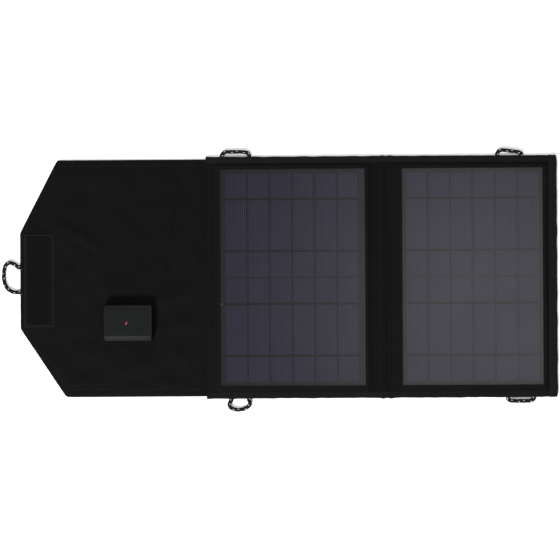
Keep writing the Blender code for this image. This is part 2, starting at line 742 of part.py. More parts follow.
def add_case_lid(material, body):
    """A cap with a sloped lower edge and a hole for the light pipe."""
    rim = CASE_Z + CASE_SPLIT + GAP
    slope_foot = CASE_TOP - SLOPE_DROP
    shoulder_front = SLOPE_LENGTH * (SLOPE_DROP - CASE_EDGE) / SLOPE_DROP
    outside = [
        case_ring(0.0, 0.0, rim, CASE_CORNER),
        case_ring(0.0, 0.0, slope_foot, CASE_CORNER),
        case_ring(0.0, shoulder_front, CASE_TOP - CASE_EDGE, CASE_CORNER),
        case_ring(CASE_EDGE, SLOPE_LENGTH, CASE_TOP, CASE_CORNER - CASE_EDGE),
    ]
    ceiling = CASE_TOP - CASE_WALL
    inward, below = SLOPE_INSIDE
    inside = [
        case_ring(CASE_WALL, CASE_WALL, rim, CASE_INNER_CORNER),
        case_ring(CASE_WALL, CASE_WALL, slope_foot - below, CASE_INNER_CORNER),
        case_ring(CASE_WALL, SLOPE_LENGTH + inward, ceiling, CASE_INNER_CORNER),
    ]
    lid = add_mesh("case_lid", cup_shape(outside, inside), material, body, smooth=True)
    combine(lid, socket_mouth(), "DIFFERENCE")
    hole = LED_PIPE_RADIUS + GAP
    profile = [(0.0, ceiling - GAP), (hole, ceiling - GAP), (hole, CASE_TOP + GAP), (0.0, CASE_TOP + GAP)]
    combine(lid, lathe_shape(profile, LED_XY), "DIFFERENCE")


def add_circuit_board(material, body):
    margin = CASE_WALL + PCB_MARGIN
    low = (CASE_X[0] + margin, CASE_Y[0] + margin, PCB_Z)
    high = (CASE_X[1] - margin, CASE_Y[1] - margin, PCB_Z + PCB)
    add_mesh("circuit_board", box_shape(low, high), material, body)


def add_usb_socket(shell_material, insulator_material, body):
    """A folded metal shell, and the insulating block at its back with the contact tongue."""
    mouth_x = CASE_X[0] + GAP
    back_x = mouth_x + SOCKET_LENGTH
    half_y = SOCKET_OUTER[0] / 2
    low = (mouth_x, SOCKET_Y - half_y, SOCKET_Z)
    high = (back_x, SOCKET_Y + half_y, SOCKET_Z + SOCKET_OUTER[1])
    piece = add_mesh("usb_socket_shell", box_shape(low, high), shell_material, body)
    wall = (SOCKET_OUTER[1] - SOCKET_INNER[1]) / 2
    bore_half = SOCKET_INNER[0] / 2
    floor = SOCKET_Z + wall
    ceiling = floor + SOCKET_INNER[1]
    low = (mouth_x - GAP, SOCKET_Y - bore_half, floor)
    high = (back_x - wall, SOCKET_Y + bore_half, ceiling)
    combine(piece, box_shape(low, high), "DIFFERENCE")

    block_half = bore_half - GAP
    face_x = back_x - INSULATOR_DEPTH
    low = (face_x, SOCKET_Y - block_half, floor + GAP)
    high = (back_x - wall - GAP, SOCKET_Y + block_half, ceiling - GAP)
    piece = add_mesh("usb_socket_insulator", box_shape(low, high), insulator_material, body)
    tongue_half = TONGUE[0] / 2
    tongue_top = ceiling - GAP - TONGUE_DROP
    low = (mouth_x + TONGUE_RECESS, SOCKET_Y - tongue_half, tongue_top - TONGUE[1])
    high = (face_x + TONGUE_ROOT, SOCKET_Y + tongue_half, tongue_top)
    combine(piece, box_shape(low, high), "UNION")


def add_charge_led(material, body):
    """A light pipe from the board to the lid's top, with a low dome."""
    radius = LED_PIPE_RADIUS
    angles = [0.125 * math.pi * k for k in range(4)]
    dome = [(radius * math.cos(a), CASE_TOP + LED_DOME * math.sin(a)) for a in angles]
    profile = [(0.0, SOCKET_Z), (radius, SOCKET_Z), *dome, (0.0, CASE_TOP + LED_DOME)]
    add_mesh("charge_led", lathe_shape(profile, LED_XY, 16), material, body, smooth=True)


def add_converter_coil(material, body):
    """A ferrite spool that stands on the board."""
    top = SOCKET_Z + COIL_HEIGHT
    profile = [
        (0.0, SOCKET_Z),
        (COIL_FLANGE_RADIUS, SOCKET_Z),
        (COIL_FLANGE_RADIUS, SOCKET_Z + COIL_FLANGE),
        (COIL_WAIST_RADIUS, SOCKET_Z + COIL_FLANGE),
        (COIL_WAIST_RADIUS, top - COIL_FLANGE),
        (COIL_FLANGE_RADIUS, top - COIL_FLANGE),
        (COIL_FLANGE_RADIUS, top),
        (0.0, top),
    ]
    add_mesh("converter_coil", lathe_shape(profile, COIL_XY, 20), material, body, smooth=True)


# ---------------------------------------------------------------- assembly

def build():
    clear_scene()
    materials = make_materials()
    panel = make_pivot("panel_fold_axis", PANEL_AXIS)
    spine = make_pivot("spine_fold_axis", SPINE_AXIS)
    flap = make_pivot("flap_fold_axis", FLAP_AXIS, spine)

    centre_span = (SEAM_X + GAP / 2, CREASE_X - GAP / 2)
    end_span = (CREASE_X + GAP / 2, COVER_RIGHT)
    add_back_cover("centre_back_cover", centre_span, False, materials["fabric"], None)
    add_front_cover("centre_front_cover", centre_span, CENTRE_WINDOW_X, materials["fabric"], None)
    add_module("centre", CENTRE_WINDOW_X, CENTRE_FIELD_X, materials, None)
    crease_left = centre_span[1]
    crease_right = end_span[0]
    window_edge = CENTRE_WINDOW_X[1]
    add_ribbons("centre", CENTRE_FIELD_X, window_edge, crease_left, materials["ribbon"], None)
    add_long_bindings("centre", centre_span, materials["binding"], None)

    add_back_cover("end_back_cover", end_span, True, materials["fabric"], panel)
    add_front_cover("end_front_cover", end_span, END_WINDOW_X, materials["fabric"], panel)
    add_module("end", END_WINDOW_X, END_FIELD_X, materials, panel)
    window_edge = END_WINDOW_X[0]
    add_ribbons("end", END_FIELD_X, window_edge, crease_right, materials["ribbon"], panel)
    side_lip = BODY_RIGHT - SIDE_BINDING_LIP - GAP
    add_long_bindings("end", (crease_right, side_lip), materials["binding"], panel)
    add_side_binding(materials["binding"], panel)
    add_loop_patch(materials["loop_tape"], panel)

    add_flap_and_spine(materials, flap, spine)
    add_flap_lead(materials["lead"], flap)
    add_spine_lead(materials["lead"], spine)
    add_centre_lead(materials["lead"])
    add_case_base(materials["case"], flap)
    add_case_lid(materials["case"], flap)
    add_circuit_board(materials["circuit"], flap)
    add_usb_socket(materials["socket"], materials["insulator"], flap)
    add_charge_led(materials["led"], flap)
    add_converter_coil(materials["coil"], flap)

    add_cord_loop("centre_loop_top", CENTRE_TOP_LOOP, materials["cord"], None)
    add_cord_loop("centre_loop_bottom", CENTRE_BOTTOM_LOOP, materials["cord"], None)
    add_cord_loop("end_loop_top", END_TOP_LOOP, materials["cord"], panel)
    add_cord_loop("end_loop_bottom", END_BOTTOM_LOOP, materials["cord"], panel)
    add_cord_loop("flap_loop", FLAP_LOOP, materials["cord"], flap)


build()
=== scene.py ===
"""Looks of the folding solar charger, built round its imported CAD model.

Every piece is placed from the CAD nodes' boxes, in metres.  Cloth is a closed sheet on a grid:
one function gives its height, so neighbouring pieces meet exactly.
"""

import math
import random

import bmesh
import bpy
import numpy as np
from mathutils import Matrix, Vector


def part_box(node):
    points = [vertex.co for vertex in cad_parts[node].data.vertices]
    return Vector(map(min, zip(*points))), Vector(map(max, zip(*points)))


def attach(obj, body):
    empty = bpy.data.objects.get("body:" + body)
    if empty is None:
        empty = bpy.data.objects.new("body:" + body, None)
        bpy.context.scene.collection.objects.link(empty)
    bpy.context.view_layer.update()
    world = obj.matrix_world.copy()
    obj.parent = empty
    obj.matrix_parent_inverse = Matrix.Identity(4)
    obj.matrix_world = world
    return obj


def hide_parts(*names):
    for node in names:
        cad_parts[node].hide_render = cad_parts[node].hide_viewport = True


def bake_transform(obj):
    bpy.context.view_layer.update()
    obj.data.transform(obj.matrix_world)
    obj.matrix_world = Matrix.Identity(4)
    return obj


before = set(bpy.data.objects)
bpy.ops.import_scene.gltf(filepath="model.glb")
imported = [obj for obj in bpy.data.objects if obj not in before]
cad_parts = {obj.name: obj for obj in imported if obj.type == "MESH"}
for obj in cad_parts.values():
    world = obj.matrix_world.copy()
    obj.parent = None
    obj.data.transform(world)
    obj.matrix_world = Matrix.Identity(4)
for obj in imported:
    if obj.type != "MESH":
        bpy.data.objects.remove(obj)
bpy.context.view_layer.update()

# ---------------------------------------------------------------- places read from the frame

MM = 0.001


def node_box(name):
    low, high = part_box(name)
    return np.array(low), np.array(high)


CENTRE_FRONT = node_box("centre_front_cover")
END_FRONT = node_box("end_front_cover")
SPINE = node_box("spine_inner_fabric")
FLAP = node_box("flap_inner_fabric")
TOP_BINDING = node_box("centre_binding_top")
SIDE_BINDING = node_box("end_binding_side")
HOOK = node_box("hook_fastener_strip")
PATCH = node_box("loop_fastener_patch")
BASE = node_box("case_base")
LID = node_box("case_lid")
LED = node_box("charge_led")

SEAM_X = (SPINE[1][0] + CENTRE_FRONT[0][0]) / 2
CREASE_X = (CENTRE_FRONT[1][0] + END_FRONT[0][0]) / 2
FOLD_X = (FLAP[1][0] + SPINE[0][0]) / 2
SPLIT_X = (SEAM_X + FOLD_X) / 2
PANEL_HALF = TOP_BINDING[1][1]
COVER_HALF = CENTRE_FRONT[1][1]
FLAP_HALF = FLAP[1][1]
RIGHT = SIDE_BINDING[1][0]
TIP_X = FLAP[0][0]
LIP_Y = TOP_BINDING[0][1]
SIDE_LIP_X = SIDE_BINDING[0][0]
BINDING_TOP = TOP_BINDING[1][2]
FRONT_TOP = CENTRE_FRONT[1][2]
INNER_TOP = SPINE[1][2]
INNER_LOW = SPINE[0][2]


def link_span():
    """Lowest and highest Y of the strip that joins the modules, where it meets the crease."""
    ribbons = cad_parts["centre_ribbons"]
    corners = [ribbons.matrix_world @ vertex.co for vertex in ribbons.data.vertices]
    at_crease = [corner.y for corner in corners if corner.x > CREASE_X - MM]
    return min(at_crease), max(at_crease)


LINK_SPAN = link_span()

# ---------------------------------------------------------------- sizes of the fine shape

CLOTH = 0.6 * MM
RIM_OVERLAP = 2.5 * MM      # film hidden under the window's rim
RIM_FLAT = 2.9 * MM         # flat part of the rim, out from the window's edge
RIM_FOOT = 5.8 * MM         # where the rim reaches the margin
RIM_STITCH = 1.9 * MM       # row of stitches round each window
CREASE_REACH = 6.0 * MM     # half the width of cloth that bends at the crease
CREASE_STITCH = 7.0 * MM
CREASE_DEPTH = 0.85 * MM
CREASE_WIDTH = 0.7 * MM     # of the groove's bell shape
LINK_CREASE_DEPTH = 0.3 * MM  # where the link strip lies under the crease
MARGIN_WAVES = 0.07 * MM    # height of the waves in the panels' margins
HEM_RISE = 0.22 * MM        # the doubled cloth at the seam stands this much higher
FOLD_REACH = 4.0 * MM       # half the width of cloth that bends at the spine's two folds
TUCK = 5.0 * MM             # lining tucked under the panel's hem
BACK_SPLIT = 8.0 * MM       # lapped joint of the back cloth, past the seam
MARGIN_LOW = 0.8 * MM       # underside of the back cloth over the bindings' lower lip
HEM_STITCH = 6.5 * MM
SEAM_STITCH = 3.0 * MM
PILLOW = 5.0 * MM           # width of the flap's rounded border
EDGE_STEPS = (0.0, 0.06 * MM, 0.16 * MM, 0.30 * MM, 0.70 * MM)
CLOTH_STEP = 2.2 * MM       # grid step of flat cloth, and of the plainer back
BACK_STEP = 2.4 * MM
FINE = 0.8 * MM             # grid step where cloth bends or is stitched
THREAD = 0.20 * MM          # radius of the sewing thread
STITCH = 2.5 * MM
STITCH_PITCH = 3.1 * MM
STITCH_DEPTH = 0.25 * MM
TAPE = 0.5 * MM
TAPE_CORNER = 1.2 * MM      # outer radius of the binding's fold


def window_of(film):
    """Centre and half size of the window over a module's film."""
    low, high = node_box(film)
    centre = (low[:2] + high[:2]) / 2
    half = (high[:2] - low[:2]) / 2 - RIM_OVERLAP
    return centre, half


WINDOWS = [window_of("centre_front_film"), window_of("end_front_film")]


# ---------------------------------------------------------------- node materials

def scaled(colour, factor):
    return tuple(min(1.0, channel * factor) for channel in colour)


class Nodes:
    """Short calls that add nodes to a new material."""

    def __init__(self, name, colour, roughness, **constants):
        self.material = bpy.data.materials.new(name)
        self.material.use_nodes = True
        self.material.diffuse_color = (*colour, 1.0)
        self.tree = self.material.node_tree
        self.shader = self.tree.nodes["Principled BSDF"]
        self.shader.inputs["Base Color"].default_value = (*colour, 1.0)
        self.shader.inputs["Roughness"].default_value = roughness
        for socket, value in constants.items():
            self.shader.inputs[socket.replace("_", " ")].default_value = value

    def add(self, kind, inputs, **settings):
        node = self.tree.nodes.new("ShaderNode" + kind)
        for key, value in settings.items():
            setattr(node, key, value)
        for key, value in inputs.items():
            if isinstance(value, bpy.types.NodeSocket):
                self.tree.links.new(value, node.inputs[key])
            else:
                node.inputs[key].default_value = value
        return node

    def math(self, operation, a, b=0.0, c=0.0):
        return self.add("Math", {0: a, 1: b, 2: c}, operation=operation).outputs[0]

    def noise(self, place, scale, detail=3.0, roughness=0.5):
        inputs = {"Vector": place, "Scale": scale, "Detail": detail, "Roughness": roughness}
        return self.add("TexNoise", inputs).outputs["Fac"]

    def mix(self, factor, a, b):
        node = self.tree.nodes.new("ShaderNodeMix")
        node.data_type = "RGBA"
        for socket, value in ((node.inputs[0], factor), (node.inputs[6], a), (node.inputs[7], b)):
            if isinstance(value, bpy.types.NodeSocket):
                self.tree.links.new(value, socket)
            else:
                socket.default_value = value if isinstance(value, float) else (*value, 1.0)
        return node.outputs[2]

    def shades(self, value, colour, dark, light):
        """Shades of a colour: dark times it where the value is 0, light times it where it is 1."""
        return self.mix(value, scaled(colour, dark), scaled(colour, light))

    def spread(self, value, low, high):
        """A 0 to 1 value, spread over low to high."""
        inputs = {"Value": value, "To Min": low, "To Max": high}
        return self.add("MapRange", inputs).outputs["Result"]

    def object_place(self):
        return self.add("TexCoord", {}).outputs["Object"]

    def box_place(self):
        """Where a point is in its piece's own box, 0 to 1 each way."""
        return self.add("TexCoord", {}).outputs["Generated"]

    def cloth_place(self):
        """Where a point was on the flat cloth, in metres."""
        return self.add("UVMap", {}, uv_map="cloth").outputs["UV"]

    def attribute(self, name):
        return self.add("Attribute", {}, attribute_name=name).outputs["Fac"]

    def colour(self, socket):
        self.tree.links.new(socket, self.shader.inputs["Base Color"])

    def roughness(self, socket):
        self.tree.links.new(socket, self.shader.inputs["Roughness"])

    def bump(self, height, distance, strength=1.0):
        inputs = {"Height": height, "Distance": distance, "Strength": strength}
        node = self.add("Bump", inputs)
        self.tree.links.new(node.outputs["Normal"], self.shader.inputs["Normal"])


def plain_weave(nodes, place, pitch):
    """Height of a plain weave, whose threads pass over and under each other."""
    turn = math.pi / pitch
    split = nodes.add("SeparateXYZ", {0: place})
    warp = nodes.math("ABSOLUTE", nodes.math("SINE", nodes.math("MULTIPLY", split.outputs[0], turn)))
    weft = nodes.math("ABSOLUTE", nodes.math("SINE", nodes.math("MULTIPLY", split.outputs[1], turn)))
    over = nodes.add("TexChecker", {"Vector": place, "Scale": 1.0 / pitch}).outputs["Fac"]
    under = nodes.math("SUBTRACT", 1.0, over)
    return nodes.math("ADD", nodes.math("MULTIPLY", warp, over), nodes.math("MULTIPLY", weft, under))


def woven_material(name, colour, pitch, relief, roughness, specular):
    """Black woven cloth: thread relief, faint mottling, and rubbed edges where wear is set."""
    nodes = Nodes(name, colour, roughness, Specular_IOR_Level=specular, Sheen_Weight=0.01)
    place = nodes.cloth_place()
    threads = plain_weave(nodes, place, pitch)
    mottle = nodes.noise(place, 45.0, 4.0, 0.6)
    shade = nodes.shades(nodes.spread(mottle, 0.0, 1.0), colour, 0.82, 1.18)
    gaps = nodes.mix(nodes.spread(threads, 0.25, 1.0), scaled(colour, 0.7), shade)
    worn = nodes.math("MULTIPLY", nodes.attribute("wear"), nodes.spread(mottle, 0.2, 1.0))
    nodes.colour(nodes.mix(worn, gaps, scaled(colour, 1.9)))
    nodes.roughness(nodes.spread(nodes.noise(place, 900.0), roughness - 0.08, roughness + 0.06))
    nodes.bump(threads, relief)
    return nodes.material


def thread_material():
    colour = (0.0046, 0.0046, 0.0046)
    nodes = Nodes("sewing_thread", colour, 0.6, Specular_IOR_Level=0.15)
    place = nodes.object_place()
    twist = nodes.noise(place, 2600.0, 2.0)
    nodes.colour(nodes.shades(twist, colour, 0.7, 1.5))
    nodes.bump(twist, 0.05 * MM)
    return nodes.material


def pile_material(name, colour, scale):
    """Hook or loop tape: a coarse, dull pile."""
    nodes = Nodes(name, colour, 0.9, Specular_IOR_Level=0.05)
    place = nodes.object_place()
    inputs = {"Vector": place, "Scale": scale, "Randomness": 1.0}
    pile = nodes.add("TexVoronoi", inputs, feature="F1").outputs["Distance"]
    fuzz = nodes.noise(place, scale * 0.4, 4.0, 0.7)
    nodes.colour(nodes.shades(fuzz, colour, 0.65, 1.35))
    nodes.roughness(nodes.spread(fuzz, 0.8, 1.0))
    nodes.bump(pile, 0.3 * MM)
    return nodes.material


def cord_material():
    """Braided cord, black with pale tracer threads."""
    dark = (0.0036, 0.0036, 0.0036)
    nodes = Nodes("braided_cord", dark, 0.75, Specular_IOR_Level=0.08, Sheen_Weight=0.01)
    place = nodes.object_place()
    strands = nodes.noise(place, 1800.0, 2.0)
    black = nodes.shades(strands, dark, 0.7, 1.7)
    pale = nodes.mix(strands, (0.25, 0.25, 0.24), (0.55, 0.55, 0.53))
    nodes.colour(nodes.mix(nodes.attribute("fleck"), black, pale))
    nodes.bump(strands, 0.08 * MM)
    return nodes.material


BARE_EDGE = 0.032           # share of a strip's width, on each side, that has no printed fingers


def cell_material():
    """Silicon under an antireflective coat, with fine printed fingers along the strip."""
    silicon = (0.0078, 0.0062, 0.0190)
    silver = (0.052, 0.048, 0.070)
    nodes = Nodes("silicon_cell", silicon, 0.45, Specular_IOR_Level=0.05)
    place = nodes.object_place()
    split = nodes.add("SeparateXYZ", {0: place})
    finger_pitch = 1.95 * MM
    wave = nodes.math("COSINE", nodes.math("MULTIPLY", split.outputs[0], 2.0 * math.pi / finger_pitch))
    across = nodes.add("SeparateXYZ", {0: nodes.box_place()}).outputs[0]
    from_middle = nodes.math("ABSOLUTE", nodes.math("SUBTRACT", across, 0.5))
    printed = nodes.math("LESS_THAN", from_middle, 0.5 - BARE_EDGE)
    finger = nodes.math("MULTIPLY", nodes.math("GREATER_THAN", wave, 0.75), printed)
    grain = nodes.noise(place, 160.0, 3.0)
    coat = nodes.shades(grain, silicon, 0.8, 1.25)
    inner = nodes.mix(printed, scaled(silicon, 0.35), coat)
    nodes.colour(nodes.mix(nodes.math("MULTIPLY", finger, 0.5), inner, silver))
    nodes.roughness(nodes.spread(finger, 0.45, 0.6))
    nodes.bump(finger, 0.02 * MM)
    return nodes.material


def film_material():
    """Satin laminate: clear enough to show the cells, hazy where it catches the light."""
    tint = (0.008, 0.007, 0.011)
    nodes = Nodes("laminate_film", tint, 0.33, Specular_IOR_Level=0.5, Alpha=0.16)
    place = nodes.object_place()
    satin = nodes.noise(place, 700.0, 2.0)
    cloud = nodes.noise(place, 14.0, 3.0, 0.6)
    nodes.roughness(nodes.spread(cloud, 0.29, 0.34))
    height = nodes.math("ADD", nodes.math("MULTIPLY", cloud, 6.0), nodes.math("MULTIPLY", satin, 0.12))
    nodes.bump(height, 0.05 * MM)
    return nodes.material


def grained_material(name, colour, roughness, metallic, scale, relief, **constants):
    """A moulded, rolled or machined surface with a fine grain and uneven gloss."""
    nodes = Nodes(name, colour, roughness, Metallic=metallic, **constants)
    place = nodes.object_place()
    grain = nodes.noise(place, scale, 3.0)
    patches = nodes.noise(place, scale * 0.03, 3.0)
    nodes.colour(nodes.shades(patches, colour, 0.88, 1.12))
    nodes.roughness(nodes.spread(patches, roughness - 0.06, roughness + 0.08))
    nodes.bump(grain, relief)
    return nodes.material


def board_material():
    """Woven glass board behind the cells."""
    colour = (0.0034, 0.0031, 0.0030)
    nodes = Nodes("glass_board", colour, 0.7, Specular_IOR_Level=0.1)
    place = nodes.object_place()
    threads = plain_weave(nodes, place, 0.8 * MM)
    nodes.colour(nodes.shades(threads, colour, 0.8, 1.15))
    nodes.bump(threads, 0.03 * MM)
    return nodes.material


def circuit_material():
    mask = (0.010, 0.085, 0.030)
    nodes = Nodes("circuit_board", mask, 0.35)
    place = nodes.object_place()
    tracks = nodes.add("TexBrick", {"Vector": place, "Scale": 260.0, "Mortar Size": 0.03}).outputs["Fac"]
    nodes.colour(nodes.mix(tracks, mask, scaled(mask, 1.9)))
    nodes.bump(tracks, 0.03 * MM)
    return nodes.material


def led_material():
    glow = (1.0, 0.03, 0.10)
    nodes = Nodes("red_light", (0.12, 0.002, 0.012), 0.2,
                  Emission_Color=(*glow, 1.0), Emission_Strength=0.03)
    place = nodes.object_place()
    nodes.roughness(nodes.spread(nodes.noise(place, 900.0), 0.15, 0.3))
    return nodes.material


def make_materials():
    cloth = (0.0030, 0.0030, 0.0030)
    tape = (0.0036, 0.0036, 0.0036)
    return {
        "cloth": woven_material("canvas", cloth, 0.55 * MM, 0.10 * MM, 0.80, 0.05),
        "binding": woven_material("binding_tape", tape, 0.80 * MM, 0.14 * MM, 0.72, 0.08),
        "thread": thread_material(),
        "hook": pile_material("hook_tape", (0.0034, 0.0034, 0.0034), 700.0),
        "loop": pile_material("loop_tape", (0.0060, 0.0060, 0.0062), 500.0),
        "cord": cord_material(),
        "cell": cell_material(),
        "film": film_material(),
        "board": board_material(),
        "ribbon": grained_material("tinned_ribbon", (0.0022, 0.0022, 0.0022), 0.7, 0.0, 900.0, 0.02 * MM,
                                   Specular_IOR_Level=0.05),
        "case": grained_material("moulded_case", (0.0028, 0.0032, 0.0034), 0.44, 0.0, 1500.0, 0.03 * MM,
                                 Specular_IOR_Level=0.09),
        "circuit": circuit_material(),
        "metal": grained_material("nickel_shell", (0.62, 0.62, 0.60), 0.25, 1.0, 1200.0, 0.01 * MM),
        "insulator": grained_material("black_insulator", (0.02, 0.02, 0.02), 0.5, 0.0, 1500.0, 0.02 * MM),
        "contact": grained_material("gold_contact", (0.75, 0.52, 0.18), 0.25, 1.0, 1500.0, 0.01 * MM),
        "led": led_material(),
        "coil": grained_material("ferrite", (0.05, 0.045, 0.04), 0.6, 0.0, 900.0, 0.03 * MM),
        "lead": grained_material("lead_jacket", (0.012, 0.012, 0.012), 0.55, 0.0, 700.0, 0.02 * MM),
    }


MATERIALS = make_materials()


# ---------------------------------------------------------------- camera, lights and floor

VIEW_WIDTH = 0.560          # width of the view on the cloth
VIEW_OFFSET = (-8.75 * MM, -2.5 * MM)   # of the view's middle from the open body's
CAMERA_HEIGHT = 1.8
CAMERA_ROLL = -0.35
SENSOR = 36.0
FLOOR_Z = -0.2 * MM

# Soft lights: (name, place, target, width, power)
LIGHTS = (
    ("key_light", (-0.62, -1.15, 1.40), (0.0, 0.0, 0.0), 0.40, 48.0),
    ("low_light", (-0.55, -1.90, 0.30), (-0.15, 0.0, 0.0), 1.0, 22.0),
    ("fill_light", (-0.3, 1.5, 1.6), (0.0, 0.0, 0.0), 1.2, 20.0),
    ("haze_light", (0.44, -0.06, 1.9), (0.2, 0.0, 0.0), 0.6, 11.0),
)


def area_light(name, place, target, size, power):
    data = bpy.data.lights.new(name, "AREA")
    data.shape = "DISK"
    data.size = size
    data.energy = power
    light = bpy.data.objects.new(name, data)
    light.location = place
    light.rotation_mode = "QUATERNION"
    light.rotation_quaternion = (Vector(target) - light.location).to_track_quat("-Z", "Y")
    bpy.context.scene.collection.objects.link(light)


def set_stage():
    scene = bpy.context.scene
    camera_data = bpy.data.cameras.new("camera")
    camera_data.sensor_width = SENSOR
    camera_data.lens = SENSOR * (CAMERA_HEIGHT - FRONT_TOP) / VIEW_WIDTH
    camera = bpy.data.objects.new("camera", camera_data)
    camera.location = ((TIP_X + RIGHT) / 2 + VIEW_OFFSET[0], VIEW_OFFSET[1], CAMERA_HEIGHT)
    camera.rotation_euler = (0.0, 0.0, math.radians(CAMERA_ROLL))
    scene.collection.objects.link(camera)
    scene.camera = camera

    world = bpy.data.worlds.new("soft_room")
    world.use_nodes = True
    background = world.node_tree.nodes["Background"]
    background.inputs["Color"].default_value = (1.0, 1.0, 1.0, 1.0)
    background.inputs["Strength"].default_value = 0.28
    scene.world = world
    scene.view_settings.view_transform = "Standard"

    for light in LIGHTS:
        area_light(*light)

    floor_nodes = Nodes("pale_floor", (0.92, 0.92, 0.92), 0.9, Specular_IOR_Level=0.1)
    tone = floor_nodes.noise(floor_nodes.object_place(), 3.0)
    floor_nodes.colour(floor_nodes.mix(tone, (0.91, 0.91, 0.91), (0.93, 0.93, 0.93)))
    bm = bmesh.new()
    bmesh.ops.create_grid(bm, x_segments=2, y_segments=2, size=6.0)
    floor = mesh_object("floor", bm, floor_nodes.material)
    floor.location.z = FLOOR_Z


# ---------------------------------------------------------------- mesh helpers

def mesh_object(name, bm, material, sharp=40.0):
    mesh = bpy.data.meshes.new(name)
    bm.to_mesh(mesh)
    bm.free()
    return link_mesh(name, mesh, material, sharp)


def link_mesh(name, mesh, material, sharp=40.0):
    mesh.materials.append(material)
    mesh.shade_smooth()
    mesh.set_sharp_from_angle(angle=math.radians(sharp))
    thing = bpy.data.objects.new(name, mesh)
    bpy.context.scene.collection.objects.link(thing)
    return thing


def smooth_step(value, low, high):
    """0 below low, 1 above high, and a smooth rise between them."""
    t = np.clip((value - low) / (high - low), 0.0, 1.0)
    return t * t * (3.0 - 2.0 * t)


def rise(distance, reach):
    """A quarter circle: 0 at no distance, 1 at reach and beyond."""
    return np.sqrt(1.0 - (1.0 - np.clip(distance / reach, 0.0, 1.0)) ** 2)


def bell(distance, width):
    return np.exp(-((distance / width) ** 2))


def waves(x, y, length, seed, count=10):
    """A smooth random surface of about unit height, made of crossing waves of about that length."""
    chance = random.Random(seed)
    total = np.zeros_like(x)
    for _ in range(count):
        angle = chance.uniform(0.0, math.pi)
        turn = 2.0 * math.pi / (length * chance.uniform(0.7, 1.6))
        along = x * math.cos(angle) + y * math.sin(angle)
        total = total + np.sin(turn * along + chance.uniform(0.0, 2.0 * math.pi))
    return total / math.sqrt(count / 2.0)


def crease(x, y, start, end, width):
    """1 on the line from start to end, falling off over width to its sides and past its ends."""
    dx = end[0] - start[0]
    dy = end[1] - start[1]
    t = ((x - start[0]) * dx + (y - start[1]) * dy) / (dx * dx + dy * dy)
    away = np.hypot(x - start[0] - np.clip(t, 0, 1) * dx, y - start[1] - np.clip(t, 0, 1) * dy)
    fade = 1.0 - 0.6 * smooth_step(np.abs(t - 0.5), 0.2, 0.5)
    return fade * bell(away, width)


def stations(marks, step, zones=()):
    """Grid lines through the marks, about step apart, close together at each mark and in each zone.

    A zone is (middle, reach, step).
    """
    found = []
    for low, high in zip(marks, marks[1:]):
        inner_low = low + EDGE_STEPS[-1]
        inner_high = high - EDGE_STEPS[-1]
        even = np.linspace(inner_low, inner_high, max(1, round((inner_high - inner_low) / step)) + 1)
        for middle, reach, fine_step in zones:
            near = max(middle - reach, inner_low + fine_step)
            far = min(middle + reach, inner_high - fine_step)
            if near > far:
                continue
            fine = np.linspace(near, far, max(2, round((far - near) / fine_step)) + 1)
            away = (even < near - fine_step / 2) | (even > far + fine_step / 2)
            even = np.sort(np.concatenate([even[away], fine]))
        found += [low + s for s in EDGE_STEPS[:-1]]
        found += list(even)
        found += [high - s for s in reversed(EDGE_STEPS[1:-1])]
    return np.array(found + [marks[-1]])


def rounded(middle, edge_distance):
    """Upper and lower height of cloth about its middle height, with rounded edges."""
    half = np.maximum(CLOTH / 2 * rise(edge_distance, CLOTH / 2), 0.04 * MM)
    return middle + half, middle - half


def cloth_mesh(name, x, y, heights, material, wear=None, kept=None):
    """A closed sheet on a grid of points, from its upper and lower heights, on the kept cells or all."""
    upper, lower = heights
    columns, rows = x.shape
    if kept is None:
        kept = np.ones((columns - 1, rows - 1), bool)
    used = np.zeros((columns, rows), bool)
    for a in (0, 1):
        for b in (0, 1):
            used[a:columns - 1 + a, b:rows - 1 + b] |= kept
    count = int(used.sum())
    top = np.full((columns, rows), -1)
    top[used] = np.arange(count)
    under = top + count
    points = np.concatenate([np.stack([x, y, z], axis=2)[used] for z in (upper, lower)])
    faces = []
    for i, j in np.argwhere(kept):
        ring = ((i, j), (i + 1, j), (i + 1, j + 1), (i, j + 1))
        faces.append([int(top[p]) for p in ring])
        faces.append([int(under[p]) for p in reversed(ring)])
        beside = ((i, j - 1), (i + 1, j), (i, j + 1), (i - 1, j))
        for k, (p, q) in enumerate(beside):
            if not (0 <= p < columns - 1 and 0 <= q < rows - 1 and kept[p, q]):
                a = ring[k]
                b = ring[(k + 1) % 4]
                faces.append([int(top[b]), int(top[a]), int(under[a]), int(under[b])])
    mesh = bpy.data.meshes.new(name)
    mesh.from_pydata(points.tolist(), [], faces)
    lay_flat(mesh, points[:, :2])
    if wear is not None:
        set_attribute(mesh, "wear", np.concatenate([wear[used], wear[used]]))
    return link_mesh(name, mesh, material, 60.0)


def lay_flat(mesh, flat):
    """The cloth UV map: each point's place on the flat cloth, in metres."""
    layer = mesh.uv_layers.new(name="cloth")
    corner = np.zeros(len(mesh.loops), np.int32)
    mesh.loops.foreach_get("vertex_index", corner)
    layer.data.foreach_set("uv", np.asarray(flat, np.float32)[corner].ravel())


def set_attribute(mesh, name, values):
    attribute = mesh.attributes.new(name, "FLOAT", "POINT")
    attribute.data.foreach_set("value", np.asarray(values, np.float32))


def box_distance(x, y, low, high):
    """Distance out from a rectangle's edge, 0 inside it."""
    return np.hypot(np.maximum(np.maximum(low[0] - x, x - high[0]), 0.0),
                    np.maximum(np.maximum(low[1] - y, y - high[1]), 0.0))


def distance_in(x, y, low, high):
    """Distance in from a rectangle's edge."""
    return np.minimum(np.minimum(x - low[0], high[0] - x), np.minimum(y - low[1], high[1] - y))


def windows_away(x, y):
    """Distance out from the nearer window, 0 inside it."""
    return np.minimum(*(box_distance(x, y, centre - half, centre + half) for centre, half in WINDOWS))


